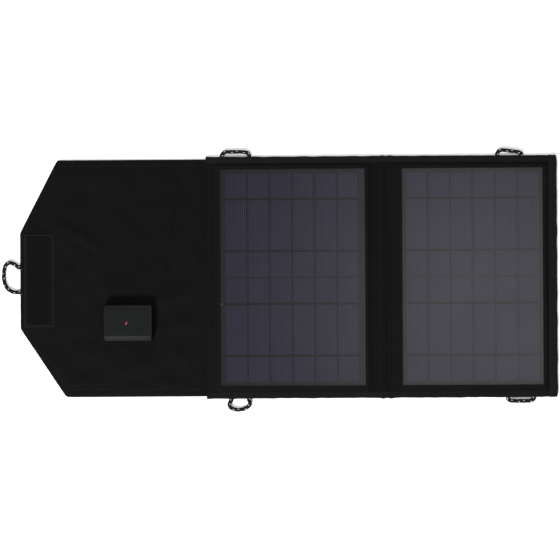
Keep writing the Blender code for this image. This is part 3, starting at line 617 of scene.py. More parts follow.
def furrow(distance, line):
    """The shallow furrow that a row of stitches pulls into cloth."""
    return -STITCH_DEPTH * bell(distance - line, 0.45 * MM)


def tube_faces(first, rings, around):
    """Faces of a closed tube: rings of around points each, from the point numbered first."""
    last = first + (rings - 1) * around
    faces = [list(reversed(range(first, first + around))), list(range(last, last + around))]
    for base in range(first, last, around):
        for i in range(around):
            after = (i + 1) % around
            faces.append((base + i, base + after, base + around + after, base + around + i))
    return faces


def outward_mesh(name, points, faces):
    """A mesh whose faces are all turned to look outward."""
    mesh = bpy.data.meshes.new(name)
    mesh.from_pydata(points, [], faces)
    bm = bmesh.new()
    bm.from_mesh(mesh)
    bmesh.ops.recalc_face_normals(bm, faces=bm.faces)
    bm.to_mesh(mesh)
    bm.free()
    return mesh


def join_rings(bm, rings):
    """Join each ring of corners to the next with a band of faces, and turn all faces outward."""
    for lower, upper in zip(rings, rings[1:]):
        for k in range(len(lower)):
            after = (k + 1) % len(lower)
            bm.faces.new((lower[k], lower[after], upper[after], upper[k]))
    bmesh.ops.recalc_face_normals(bm, faces=bm.faces)
    return bm


# ---------------------------------------------------------------- stitches

# A stitch's rings: (place along it, share of the thread's radius, sink in radii)
STITCH_SHAPE = ((-0.5, 0.3, 1.3), (-0.34, 0.9, 0.35), (0.0, 1.0, 0.0), (0.34, 0.9, 0.35), (0.5, 0.3, 1.3))


class Stitching:
    """Rows of short thread bodies, gathered into one piece."""

    SIDES = 6

    def __init__(self):
        self.points = []
        self.faces = []

    def add(self, route, height, side=1.0):
        """Stitches along straight runs, on the cloth's upper (1) or lower (-1) face at height(x, y)."""
        rings = []
        for start, end in zip(route, route[1:]):
            start = np.array(start, float)
            end = np.array(end, float)
            length = float(np.linalg.norm(end - start))
            direction = (end - start) / length
            across = np.array([-direction[1], direction[0]])
            count = max(1, round(length / STITCH_PITCH))
            for k in range(count):
                middle = start + (k + 0.5) / count * length * direction
                for t, share, sink in STITCH_SHAPE:
                    rings.append((middle + direction * STITCH * t, across, share, sink))
        centres = np.array([ring[0] for ring in rings])
        levels = height(centres[:, 0], centres[:, 1])
        for (centre, across, share, sink), level in zip(rings, levels):
            middle = level + side * THREAD * (0.35 - sink)
            for k in range(self.SIDES):
                angle = 2.0 * math.pi * k / self.SIDES
                spot = centre + across * math.cos(angle) * THREAD * share
                self.points.append((spot[0], spot[1], middle + math.sin(angle) * THREAD * share))
        stitch = len(STITCH_SHAPE) * self.SIDES
        for first in range(len(self.points) - len(rings) * self.SIDES, len(self.points), stitch):
            self.faces += tube_faces(first, len(STITCH_SHAPE), self.SIDES)

    def piece(self, name):
        thing = link_mesh(name, outward_mesh(name, self.points, self.faces), MATERIALS["thread"], 60.0)
        return thing


def rectangle_route(low, high, outset=0.0):
    x0, y0 = low[0] - outset, low[1] - outset
    x1, y1 = high[0] + outset, high[1] + outset
    return [(x0, y0), (x1, y0), (x1, y1), (x0, y1), (x0, y0)]


# ---------------------------------------------------------------- the panels' cloth

COVER_RIGHT = END_FRONT[1][0]
FRONT_LEFT = CENTRE_FRONT[0][0]
BACK_LEFT = SEAM_X + BACK_SPLIT
WINDOW_X = sorted(float(c[0] + s * h[0]) for c, h in WINDOWS for s in (-1, 1))
WINDOW_Y = float(WINDOWS[0][1][1])


def panel_blend(piece):
    """Bakes the piece's placement into its mesh."""
    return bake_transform(piece)


def front_middle(x, y):
    """Middle height of the front cloth: margins that rise to a rim over each module's edge."""
    away = windows_away(x, y)
    rim = 1.0 - smooth_step(away, RIM_FLAT, RIM_FOOT)
    z = (INNER_LOW + INNER_TOP) / 2 + (FRONT_TOP - INNER_TOP) * rim
    z = z + MARGIN_WAVES * waves(x, y, 26.0 * MM, 3) * (1.0 - rim) + furrow(away, RIM_STITCH)
    from_link = np.abs(y - sum(LINK_SPAN) / 2) - (LINK_SPAN[1] - LINK_SPAN[0]) / 2
    off_link = smooth_step(from_link, 1.0 * MM, 6.0 * MM)
    depth = LINK_CREASE_DEPTH + (CREASE_DEPTH - LINK_CREASE_DEPTH) * off_link
    z = z - depth * bell(x - CREASE_X, CREASE_WIDTH) + furrow(np.abs(x - CREASE_X), CREASE_STITCH)
    hem = 1.0 - smooth_step(x - FRONT_LEFT, SEAM_STITCH + 1.6 * MM, SEAM_STITCH + 2.4 * MM)
    return z + HEM_RISE * hem + furrow(x - FRONT_LEFT, SEAM_STITCH)


def front_top(x, y):
    return front_middle(x, y) + CLOTH / 2


def make_front_cloth():
    stitched_x = (FRONT_LEFT + SEAM_STITCH, WINDOW_X[0] - RIM_STITCH, WINDOW_X[1] + RIM_STITCH,
                  WINDOW_X[2] - RIM_STITCH, WINDOW_X[3] + RIM_STITCH)
    stitched_y = (-WINDOW_Y - RIM_STITCH, WINDOW_Y + RIM_STITCH)
    xs = stations([FRONT_LEFT, *WINDOW_X, COVER_RIGHT], CLOTH_STEP, [
        *((place, FINE, FINE / 2) for place in stitched_x),
        (CREASE_X, CREASE_STITCH + FINE, FINE),
        (CREASE_X, 2 * FINE, FINE / 4),
    ])
    ys = stations([-COVER_HALF, -WINDOW_Y, WINDOW_Y, COVER_HALF], CLOTH_STEP,
                  [(place, FINE, FINE / 2) for place in stitched_y])
    x, y = np.meshgrid(xs, ys, indexing="ij")
    away = windows_away(x, y)
    edge = np.minimum(distance_in(x, y, (FRONT_LEFT, -COVER_HALF), (COVER_RIGHT, COVER_HALF)), away)
    wear = 0.5 * (1.0 - smooth_step(away, 0.3 * MM, 1.6 * MM))
    middle = windows_away((x[:-1, :-1] + x[1:, 1:]) / 2, (y[:-1, :-1] + y[1:, 1:]) / 2)
    cloth = cloth_mesh("front_cloth", x, y, rounded(front_middle(x, y), edge), MATERIALS["cloth"], wear,
                       middle > 0.0)
    panel_blend(cloth)
    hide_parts("centre_front_cover", "end_front_cover")


def over_binding_lip(y):
    """1 where the back cloth lies on the long bindings' lower lip."""
    return smooth_step(np.abs(y), LIP_Y - 1.8 * MM, LIP_Y - 0.3 * MM)


def back_middle(x, y):
    """Middle height of the back cloth, stepped over the bindings and pressed in at the loop patch."""
    side = smooth_step(x, SIDE_LIP_X - 1.8 * MM, SIDE_LIP_X - 0.3 * MM)
    lip = np.maximum(over_binding_lip(y), side)
    patch = 1.0 - smooth_step(box_distance(x, y, *PATCH), 0.0, 0.8 * MM)
    z = CLOTH / 2 + MARGIN_LOW * lip + 0.3 * MM * patch
    return z - furrow(x - BACK_LEFT, SEAM_STITCH) * (1.0 - lip)


def make_back_cloth():
    xs = stations([BACK_LEFT, COVER_RIGHT], BACK_STEP, [
        (BACK_LEFT + SEAM_STITCH, FINE, FINE / 2),
        (CREASE_X, CREASE_REACH + FINE, FINE),
        (PATCH[0][0] - 0.4 * MM, FINE, FINE / 2),
        (PATCH[1][0] + 0.4 * MM, FINE, FINE / 2),
        (SIDE_LIP_X - 1.0 * MM, 2 * FINE, FINE / 2),
    ])
    ys = stations([-COVER_HALF, COVER_HALF], BACK_STEP, [
        (1.0 * MM - LIP_Y, 2 * FINE, FINE / 2),
        (PATCH[0][1] - 0.4 * MM, FINE, FINE / 2),
        (PATCH[1][1] + 0.4 * MM, FINE, FINE / 2),
        (LIP_Y - 1.0 * MM, 2 * FINE, FINE / 2),
    ])
    x, y = np.meshgrid(xs, ys, indexing="ij")
    edge = distance_in(x, y, (BACK_LEFT, -COVER_HALF), (COVER_RIGHT, COVER_HALF))
    cloth = cloth_mesh("back_cloth", x, y, rounded(back_middle(x, y), edge), MATERIALS["cloth"],
                       np.zeros_like(x))
    panel_blend(cloth)
    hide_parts("centre_back_cover", "end_back_cover")


# ---------------------------------------------------------------- binding tape

def folded_side(flat, inset):
    """One side of the folded tape, from its lower lip round the fold to its upper lip."""
    radius = TAPE_CORNER - inset
    quarter = [math.pi / 2 * k / 5 for k in range(6)]
    half = [(u, inset) for u in flat]
    half += [(TAPE_CORNER - radius * math.sin(a), TAPE_CORNER - radius * math.cos(a)) for a in quarter]
    return half + [(u, BINDING_TOP - z) for u, z in reversed(half)]


def binding_profile(lip):
    """Closed outline of the folded tape: (distance in from the edge, height)."""
    flat = [lip - 0.15 * MM, lip - 0.8 * MM, lip - 1.5 * MM, lip - 2.2 * MM, (lip + TAPE_CORNER) / 2]
    inner = folded_side(flat, TAPE)[::-1]
    return folded_side(flat, 0.0) + [(lip, BINDING_TOP - TAPE / 2)] + inner + [(lip, TAPE / 2)]


def binding_shift(s, u, z, lip, bumps, seed):
    """Small puckers along the tape: outward at its edge, and pressed down along its stitches."""
    out = 0.12 * MM * waves(s, np.zeros_like(s), 17.0 * MM, seed, 5)
    for place, height, width in bumps:
        out = out + height * bell(s - place, width)
    near_edge = 1.0 - smooth_step(u, 0.5 * MM, 4.0 * MM)
    press = 0.0
    if z > BINDING_TOP / 2:
        press = furrow(u, lip - 1.5 * MM) - 0.24 * MM * smooth_step(u, lip - 3.6 * MM, lip - 0.6 * MM)
    elif z < TAPE:
        press = -furrow(u, lip - 1.5 * MM)
    return out * near_edge, press


def make_binding(name, spot, span, lip, seed, zones=(), bumps=(), end_corner=None):
    """Sweep the tape's profile along its edge; spot(s, u, z) places a point, u in from the edge."""
    s = stations(span, 2.5 * MM, zones)
    profile = binding_profile(lip)
    corner = 0.0
    if end_corner:
        corner = sum(end_corner * (1.0 - rise(t, end_corner)) for t in (s - span[0], span[1] - s))
    rings = []
    for u, z in profile:
        out, press = binding_shift(s, u, z, lip, bumps, seed)
        inward = u - out + corner * (1.0 - u / lip)
        rings.append(np.stack(spot(s, inward, z + press), axis=1))
    around = len(profile)
    points = np.stack(rings, axis=1).reshape(-1, 3)
    mesh = outward_mesh(name, points.tolist(), tube_faces(0, len(s), around))
    lengths = np.cumsum([0.0] + [math.dist(a, b) for a, b in zip(profile, profile[1:])])
    lay_flat(mesh, np.stack([np.repeat(s, around), np.tile(lengths, len(s))], axis=1))
    set_attribute(mesh, "wear", np.tile([0.8 if u < 0.6 * MM else 0.0 for u, _ in profile], len(s)))
    piece = link_mesh(name, mesh, MATERIALS["binding"], 45.0)
    return piece


def along_long_edge(sign):
    def spot(s, u, z):
        return s, sign * (PANEL_HALF - u), z + np.zeros_like(s)
    return spot


def along_side(s, u, z):
    return RIGHT - u, s, z + np.zeros_like(s)


def make_bindings():
    long_lip = PANEL_HALF - LIP_Y
    span = (FRONT_LEFT, SIDE_LIP_X - 0.1 * MM)
    zones = [(CREASE_X, CREASE_REACH + 2 * FINE, FINE)]
    bumps = [(CREASE_X - 4.0 * MM, 0.75 * MM, 2.2 * MM), (CREASE_X + 3.5 * MM, 0.6 * MM, 2.5 * MM)]
    for side, sign, seed in (("top", 1.0, 11), ("bottom", -1.0, 12)):
        piece = make_binding(f"binding_{side}", along_long_edge(sign), span, long_lip, seed, zones, bumps)
        panel_blend(piece)
        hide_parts(f"centre_binding_{side}", f"end_binding_{side}")
    piece = make_binding("binding_side", along_side, (-PANEL_HALF, PANEL_HALF), RIGHT - SIDE_LIP_X, 13,
                         end_corner=2.0 * MM)
    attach(piece, "end_panel")
    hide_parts("end_binding_side")


# ---------------------------------------------------------------- the flap and the spine

LOWER_SHOULDER_X = -223.5 * MM
UPPER_SHOULDER_X = -231.5 * MM
TIP_LOW_Y = -50.0 * MM
TIP_HIGH_Y = 46.0 * MM
SHOULDER_BEND = 1.4 * MM    # how softly the chamfers meet the long edges

# Soft folds in the flap's lining, in millimetres: (start x, start y, end x, end y, width, height)
FOLDS = (
    (-106.8, 101.5, -123.8, -20.5, 3.2, -1.10),
    (-112.5, 95.0, -129.0, -12.0, 5.0, 0.99),
    (-136.8, -26.5, -107.5, -17.5, 3.4, 1.76),
    (-241.8, 61.5, -186.8, 28.5, 4.5, 1.21),
    (-238.0, 53.0, -190.0, 22.0, 4.0, -0.88),
    (-166.0, 76.0, -158.0, 71.0, 8.0, 1.54),
    (-240.0, -76.0, -220.0, -104.0, 9.0, 1.32),
    (-224.8, -58.5, -188.8, -60.5, 3.5, -0.99),
    (-211.0, -49.0, -206.0, -50.0, 5.0, 1.21),
    (-190.0, -96.0, -130.0, -88.0, 9.0, 0.88),
    (-200.0, 104.0, -140.0, 98.0, 9.0, 0.77),
)
LONG_WAVES = 0.42 * MM      # height of the lining's slow waves
SHORT_WAVES = 0.13 * MM
DEEPEST = -0.85 * MM        # no fold goes below this


def soft_least(a, b, softness):
    """The lesser of a and b, with a rounded corner where they cross."""
    return (a + b - np.sqrt((a - b) ** 2 + softness ** 2)) / 2


def flap_reach(x, tip_y, shoulder_x):
    """How far the flap reaches to one side of its middle, at x."""
    chamfer = tip_y + (x - TIP_X) * (FLAP_HALF - tip_y) / (shoulder_x - TIP_X)
    square = soft_least(chamfer, np.full_like(x, FLAP_HALF), SHOULDER_BEND)
    return square - 1.2 * MM * (1.0 - rise(x - TIP_X, 2.0 * MM))


def flap_edges(x, inner):
    """(lowest, highest) Y of the lining or the outer cloth; both narrow where the binding begins."""
    past = smooth_step(x, SEAM_X - 0.2 * MM, SEAM_X + 1.0 * MM)
    lapped = LIP_Y - 1.5 * MM if inner else LIP_Y + 2.0 * MM
    low = -flap_reach(x, -TIP_LOW_Y, LOWER_SHOULDER_X)
    high = flap_reach(x, TIP_HIGH_Y, UPPER_SHOULDER_X)
    return low + (-lapped - low) * past, high + (lapped - high) * past


def flap_gap(x, y, inner):
    """Distance in from the flap's border, measured along Y or from its tip."""
    low, high = flap_edges(x, inner)
    return np.minimum(np.minimum(y - low, high - y), x - TIP_X)


def calm(x, y):
    """0 under the hook strip and the case, 1 away from them."""
    return (smooth_step(box_distance(x, y, *HOOK), 0.5 * MM, 6.0 * MM)
            * smooth_step(box_distance(x, y, *BASE), 0.5 * MM, 5.0 * MM))


def lining_middle(x, y):
    """Middle height of the flap's and the spine's inner cloth."""
    gap = flap_gap(x, y, True)
    closed = CLOTH * 1.55
    past = smooth_step(x, SEAM_X - 5.5 * MM, SEAM_X - 1.0 * MM)
    loose = (INNER_LOW + INNER_TOP) / 2 - 0.6 * MM * past
    puff = rise(gap, PILLOW)
    puff = puff + (1.0 - puff) * smooth_step(x, SEAM_X - 1.0 * MM, SEAM_X + 1.0 * MM)
    free = calm(x, y) * smooth_step(gap, HEM_STITCH, HEM_STITCH + 8.0 * MM)
    free = free * (1.0 - smooth_step(x, SEAM_X - 9.0 * MM, SEAM_X - 3.0 * MM))
    plain = free * smooth_step(np.abs(x - SPLIT_X), 0.5 * MM, 4.0 * MM)
    shape = LONG_WAVES * waves(x, y, 38.0 * MM, 21) + SHORT_WAVES * waves(x, y, 13.0 * MM, 22)
    for fold in FOLDS:
        x0, y0, x1, y1, width, height = (value * MM for value in fold)
        shape = shape + height * crease(x, y, (x0, y0), (x1, y1), width)
    case = 1.0 - smooth_step(box_distance(x, y, *BASE), 0.0, 3.0 * MM)
    z = closed + (loose - closed) * puff + np.maximum(shape, DEEPEST) * plain + 0.25 * MM * case
    hem = 1.0 - smooth_step(x, SEAM_X - 2.0 * MM, SEAM_X)
    near_hem = 1.0 - smooth_step(gap, HEM_STITCH, HEM_STITCH + 2.0 * MM)
    puckers = 0.05 * MM * waves(x, y, 5.0 * MM, 23) * near_hem
    return z + (furrow(gap, HEM_STITCH) * 1.4 + puckers) * hem


def lining_top(x, y):
    return lining_middle(x, y) + CLOTH / 2


def outer_middle(x, y):
    """Middle height of the outer cloth, which lies on the ground."""
    past = smooth_step(x, SEAM_X - 1.2 * MM, SEAM_X + 0.2 * MM)
    gap = flap_gap(x, y, False)
    z = CLOTH / 2 + MARGIN_LOW * over_binding_lip(y) * past
    return z - furrow(gap, HEM_STITCH) * (1.0 - past)


def outer_bottom(x, y):
    return outer_middle(x, y) - CLOTH / 2


def fitted_rows(x, low, high, rows):
    """Y of each grid point: the rows near each border keep their distance to it."""
    span = rows[-1]
    middle = span / 2
    border = HEM_STITCH + 2 * FINE
    y = np.zeros((len(x), len(rows)))
    for j, row in enumerate(rows):
        if row <= border:
            y[:, j] = low + row
        elif row >= span - border:
            y[:, j] = high - (span - row)
        else:
            y[:, j] = low + border + (row - border) / (span - 2 * border) * (high - low - 2 * border)
    return y


def make_flap_cloth(name, span, middle, inner, closed_ends):
    """A sheet over part of the flap and spine; closed_ends says which of its two ends is rounded."""
    zones = [(TIP_X + HEM_STITCH, FINE, FINE / 2), (FOLD_X, FOLD_REACH + FINE, FINE),
             (SEAM_X, FOLD_REACH + FINE, FINE)]
    xs = stations(span, CLOTH_STEP, [zone for zone in zones if span[0] < zone[0] < span[1]])
    full = 2 * FLAP_HALF
    rows = stations((0.0, full), CLOTH_STEP,
                    [(row, FINE, FINE / 2) for row in (HEM_STITCH, full - HEM_STITCH)])
    low, high = flap_edges(xs, inner)
    y = fitted_rows(xs, low, high, rows)
    x = np.repeat(xs[:, None], len(rows), axis=1)
    edge = np.minimum(y - low[:, None], high[:, None] - y)
    if closed_ends[0]:
        edge = np.minimum(edge, x - span[0])
    if closed_ends[1]:
        edge = np.minimum(edge, span[1] - x)
    wear = 0.8 * (1.0 - smooth_step(flap_gap(x, y, inner), 0.4 * MM, 2.0 * MM))
    cloth = cloth_mesh(name, x, y, rounded(middle(x, y), edge), MATERIALS["cloth"], wear)
    return cloth


def fold_blend(piece):
    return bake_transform(piece)


def make_flap_and_spine():
    """The lining and the outer cloth, each split along the spine's middle."""
    spine_end = SEAM_X + TUCK
    flap_span = (TIP_X, SPLIT_X)
    lining = make_flap_cloth("spine_lining", (SPLIT_X, spine_end), lining_middle, True, (False, True))
    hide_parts("spine_inner_fabric")
    outer = make_flap_cloth("spine_outer_cloth", (SPLIT_X, BACK_LEFT), outer_middle, False, (False, False))
    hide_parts("spine_outer_fabric")
    for piece in (lining, outer):
        fold_blend(piece)

    lining = make_flap_cloth("flap_lining", flap_span, lining_middle, True, (True, False))
    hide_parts("flap_inner_fabric")
    outer = make_flap_cloth("flap_outer_cloth", flap_span, outer_middle, False, (True, False))
    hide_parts("flap_outer_fabric")
    for piece in (lining, outer):
        fold_blend(piece)


# ---------------------------------------------------------------- hook strip and loop patch

SELVEDGE = 2.2 * MM         # plain border of the hook tape
SELVEDGE_RISE = 0.35 * MM   # its height over the lining
PILE_DEPTH = 0.8 * MM       # the hooks' height over the tape
HOOK_PITCH = 1.35 * MM
HOOK_LENGTH = 0.85 * MM
HOOK_RADIUS = 0.14 * MM
HOOK_BEND = ((0.0, 0.0), (0.0, 0.55), (0.25, 0.95), (0.65, 0.75))   # (forward, up) in hook lengths
HOOK_SIDES = 4
HOOK_STITCH = 0.9 * MM      # rows of stitches, in from the tapes' edges
PATCH_STITCH = 1.3 * MM


def tape_mesh(name, low, high, height, material, edge_height):
    """A strip of tape: a soft selvedge round a raised pile."""
    xs = stations([low[0], high[0]], 1.2 * MM)
    ys = stations([low[1], high[1]], 1.2 * MM)
    x, y = np.meshgrid(xs, ys, indexing="ij")
    edge = distance_in(x, y, low, high)
    pile = smooth_step(edge, 1.6 * MM, 2.6 * MM)
    upper = edge_height + (height - edge_height + 0.10 * MM * waves(x, y, 3.2 * MM, 31)) * pile
    rounding = 0.3 * MM * (1.0 - rise(edge, 0.3 * MM))
    return cloth_mesh(name, x, y, (upper - rounding, np.full_like(x, low[2])), material)


def hook_stalks(name, low, high, base, material):
    """Rows of small bent hooks, each a thin stalk that curls over at its end."""
    chance = random.Random(41)
    points = []
    faces = []
    corners = [2.0 * math.pi * k / HOOK_SIDES for k in range(HOOK_SIDES)]
    for i in range(int((high[0] - low[0]) / HOOK_PITCH)):
        for j in range(int((high[1] - low[1]) / HOOK_PITCH)):
            x = low[0] + (i + 0.5 + chance.uniform(-0.15, 0.15)) * HOOK_PITCH
            y = low[1] + (j + 0.5 + chance.uniform(-0.15, 0.15)) * HOOK_PITCH
            angle = (math.pi / 2 if i % 2 else -math.pi / 2) + chance.uniform(-0.5, 0.5)
            faces += tube_faces(len(points), len(HOOK_BEND), HOOK_SIDES)
            for forward, up in HOOK_BEND:
                cx = x + math.cos(angle) * forward * HOOK_LENGTH
                cy = y + math.sin(angle) * forward * HOOK_LENGTH
                points += [(cx + HOOK_RADIUS * math.cos(turn), cy + HOOK_RADIUS * math.sin(turn),
                            base + up * HOOK_LENGTH) for turn in corners]
    mesh = bpy.data.meshes.new(name)
    mesh.from_pydata(points, [], faces)
    return link_mesh(name, mesh, material, 80.0)


def make_hook_strip():
    low = np.array([HOOK[0][0], HOOK[0][1], INNER_TOP - 0.1 * MM])
    high = HOOK[1]
    base = HOOK[1][2] - PILE_DEPTH
    strip = tape_mesh("hook_strip", low, high, base, MATERIALS["binding"], HOOK[0][2] + SELVEDGE_RISE)
    strip.data.materials.append(MATERIALS["hook"])
    for face in strip.data.polygons:
        inside = box_distance(face.center.x, face.center.y, low + SELVEDGE, high - SELVEDGE) <= 0.0
        face.material_index = 1 if inside else 0
    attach(strip, "flap")
    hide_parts("hook_fastener_strip")
    border = SELVEDGE + 0.3 * MM
    hooks = hook_stalks("hook_pile", low + border, high - border, base - 0.1 * MM, MATERIALS["hook"])
    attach(hooks, "flap")


def make_loop_patch():
    """Loop tape on the back of the end panel, with its pile facing down."""
    low, high = PATCH
    xs = stations([low[0], high[0]], 1.0 * MM)
    ys = stations([low[1], high[1]], 1.0 * MM)
    x, y = np.meshgrid(xs, ys, indexing="ij")
    edge = distance_in(x, y, low, high)
    pile = smooth_step(edge, 1.8 * MM, 2.6 * MM)
    lower = 0.10 * MM - 0.06 * MM * pile * (1.0 + 0.5 * waves(x, y, 2.6 * MM, 32))
    lower = np.minimum(lower - furrow(edge, PATCH_STITCH) * 0.6, 0.3 * MM)
    upper = np.full_like(x, 0.38 * MM)
    patch = cloth_mesh("loop_patch", x, y, (upper, lower), MATERIALS["loop"])
    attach(patch, "end_panel")
    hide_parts("loop_fastener_patch")


# ---------------------------------------------------------------- cord loops

CORD = 4.0 * MM
CORD_Z = CORD / 2 + 0.05 * MM
CORD_EDGE = PANEL_HALF + 0.3 * MM
CORD_TIP = TIP_X - 0.3 * MM
CORD_SINK = 1.6 * MM        # how far the sewn ends go into the edge
CORD_SIDES = 28
CORD_STEP = 0.28 * MM
STRANDS = 8                 # braid strands that run each way round
STRAND_LENGTH = 2.4 * MM    # length along the cord of one strand's crossing

# Routes of the loops in plan, from one sewn-in end to the other, with the body that holds them
CORD_LOOPS = {
    "flap_loop": ("flap", [
        (CORD_TIP, 0.0117), (CORD_TIP - 0.0012, 0.0117), (-0.2742, 0.0146), (-0.2795, 0.0162),
        (-0.2838, 0.0130), (-0.2853, 0.0055), (-0.2848, -0.0025), (-0.2815, -0.0095),
        (-0.2757, -0.0130), (CORD_TIP - 0.0015, -0.0132), (CORD_TIP, -0.0132),
    ]),
    "centre_loop_top": ("centre_panel", [
        (-0.0662, CORD_EDGE), (-0.0662, CORD_EDGE + 0.0012), (-0.0637, 0.1256), (-0.0587, 0.1260),
        (-0.0517, 0.1260), (-0.0452, 0.1259), (-0.0406, 0.1250), (-0.0390, CORD_EDGE + 0.0012),
        (-0.0390, CORD_EDGE),
    ]),
    "centre_loop_bottom": ("centre_panel", [
        (-0.0582, -CORD_EDGE), (-0.0582, -CORD_EDGE - 0.0012), (-0.0602, -0.1262), (-0.0588, -0.1300),
        (-0.0520, -0.1322), (-0.0442, -0.1308), (-0.0395, -0.1268), (-0.0404, -CORD_EDGE - 0.0012),
        (-0.0404, -CORD_EDGE),
    ]),
    "end_loop_top": ("end_panel", [
        (0.2095, CORD_EDGE), (0.2095, CORD_EDGE + 0.0012), (0.2115, 0.1256), (0.2160, 0.1262),
        (0.2205, 0.1257), (0.2260, 0.1249), (0.2305, 0.1243), (0.2335, CORD_EDGE + 0.0012),
        (0.2335, CORD_EDGE),
    ]),
    "end_loop_bottom": ("end_panel", [
        (0.2189, -CORD_EDGE), (0.2189, -CORD_EDGE - 0.0011), (0.2212, -0.1246), (0.2257, -0.1250),
        (0.2318, -0.1251), (0.2380, -0.1250), (0.2425, -0.1246), (0.2448, -CORD_EDGE - 0.0011),
        (0.2448, -CORD_EDGE),
    ]),
}


def smooth_route(points, step):
    """Evenly spaced points along a Catmull-Rom curve through the route's own points."""
    ends = [points[0] * 2 - points[1], *points, points[-1] * 2 - points[-2]]
    fine = []
    for a, b, c, d in zip(ends, ends[1:], ends[2:], ends[3:]):
        for k in range(16):
            t = k / 16
            cubic = (d - a + (b - c) * 3) * t ** 3 + (a * 2 - b * 5 + c * 4 - d) * t ** 2
            fine.append((b * 2 + (c - a) * t + cubic) / 2)
    fine = np.array([*fine, points[-1]])
    travelled = np.concatenate([[0.0], np.cumsum(np.linalg.norm(np.diff(fine, axis=0), axis=1))])
    even = np.linspace(0.0, travelled[-1], max(2, round(travelled[-1] / step)) + 1)
    return np.stack([np.interp(even, travelled, fine[:, k]) for k in range(fine.shape[1])], axis=1)


def braid(s, angle):
    """(height, fleck) of the braid at distance s along the cord and angle round it."""
    turn = STRANDS * angle / (2.0 * math.pi)
    u = turn + s / STRAND_LENGTH
    v = turn - s / STRAND_LENGTH
    over = (np.floor(u) + np.floor(v)) % 2 == 0
    rise = np.abs(np.sin(math.pi * u)) * np.abs(np.sin(math.pi * v))
    tracer = over & ((np.floor(u) + 2 * np.floor(v)) % 5 == 0)
    fleck = tracer & (rise > 0.2)
    return np.sqrt(rise), fleck


def make_cord(name, body, plan):
    corners = [np.array(point) for point in plan]
    inward = (corners[0] - corners[1]) / np.linalg.norm(corners[0] - corners[1])
    ends = (corners[0] + inward * CORD_SINK, corners[-1] + inward * CORD_SINK)
    route = smooth_route([ends[0], *corners, ends[1]], CORD_STEP)
    travelled = np.concatenate([[0.0], np.cumsum(np.linalg.norm(np.diff(route, axis=0), axis=1))])
    to_end = np.minimum(travelled, travelled[-1] - travelled)
    free = smooth_step(to_end, 0.5 * MM, 5.5 * MM)
    middle = BINDING_TOP / 2 + (CORD_Z - BINDING_TOP / 2) * free
    tall = CORD / 2 * (0.68 + 0.32 * free)
    wide = CORD / 2 * (1.10 - 0.10 * free)
    ahead = np.gradient(route, axis=0)
    ahead /= np.linalg.norm(ahead, axis=1)[:, None]
    across = np.stack([-ahead[:, 1], ahead[:, 0]], axis=1)
    angle = 2.0 * math.pi * np.arange(CORD_SIDES) / CORD_SIDES
    s, a = np.meshgrid(travelled, angle, indexing="ij")
    height, fleck = braid(s, a)
    swell = 0.93 + 0.07 * height
    sideways = np.cos(a) * swell * wide[:, None]
    x = route[:, 0:1] + across[:, 0:1] * sideways
    y = route[:, 1:2] + across[:, 1:2] * sideways
    z = middle[:, None] + np.sin(a) * swell * tall[:, None]
    points = np.stack([x, y, z], axis=2).reshape(-1, 3)
    mesh = outward_mesh(name, points.tolist(), tube_faces(0, len(route), CORD_SIDES))
    set_attribute(mesh, "fleck", fleck.ravel())
    piece = link_mesh(name + "_cord", mesh, MATERIALS["cord"], 70.0)
    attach(piece, body)
    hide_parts(name)
    path = [(float(p[0]), float(p[1]), float(m)) for p, m in zip(route[::6], middle[::6])]
    path.append((float(route[-1][0]), float(route[-1][1]), float(middle[-1])))


def make_cords():
    for name, (body, plan) in CORD_LOOPS.items():
        make_cord(name, body, plan)


# ---------------------------------------------------------------- charge controller

WALL = 1.5 * MM
FLOOR = 1.2 * MM
CASE_CORNER = 2.0 * MM
INNER_CORNER = 1.0 * MM
CASE_EDGE = 1.0 * MM
EDGE_ARC = 8                # steps of the lid's rounded edge
FOOT_EDGE = 0.5 * MM
PARTING_EDGE = 0.2 * MM
SLOPE_LENGTH = 4.2 * MM
SLOPE_DROP = 4.0 * MM
SLOPE_EASE = 0.55 * MM      # how far the slope's rounded upper edge leans back
SLOPE_INSIDE = (0.4 * MM, 0.6 * MM)
LABEL_LOW = (3.6 * MM, 11.3 * MM)   # the shallow frame's distance in from the case's lower left
LABEL_HIGH = (4.2 * MM, 3.6 * MM)   # and from its upper right
LABEL_GROOVE = 0.8 * MM
LABEL_DEPTH = 0.35 * MM
LABEL_CORNER = 1.0 * MM
SOCKET_PLAY = 0.5 * MM      # clearance round the socket in its window
TONGUE_DROP = 0.5 * MM      # from the insulating block's top to the tongue's
TONGUE_THICKNESS = 1.84 * MM
CONTACT_PLACES = (-3.5 * MM, -1.0 * MM, 1.0 * MM, 3.5 * MM)     # across the tongue, from its middle
CONTACT_START = 0.6 * MM    # from the tongue's tip
CONTACT_LENGTH = 6.4 * MM
CONTACT_HALF = 0.5 * MM     # half a contact's width
LED_PLAY = 0.25 * MM        # clearance round the light pipe
LED_SINK = 0.7 * MM         # width of the hole's bevel
LEAD_THICKNESS = 0.5 * MM
LEAD_WIDTH = 4.6 * MM
LEAD_PLAY = 0.4 * MM        # clearance round the lead in its slot
POST_RADIUS = 2.0 * MM
POST_INSET = 4.5 * MM
POST_SOCKET_INSET = 18.0 * MM


def rounded_ring(low, high, radius, z, steps=7):
    """The corners of a rounded rectangle at height z, anticlockwise from above."""
    centres = (
        (high[0] - radius, high[1] - radius, 0.0),
        (low[0] + radius, high[1] - radius, 90.0),
        (low[0] + radius, low[1] + radius, 180.0),
        (high[0] - radius, low[1] + radius, 270.0),
    )
    ring = []
    for x, y, start in centres:
        for k in range(steps + 1):
            angle = math.radians(start + 90.0 * k / steps)
            ring.append(Vector((x + radius * math.cos(angle), y + radius * math.sin(angle), z)))
    return ring


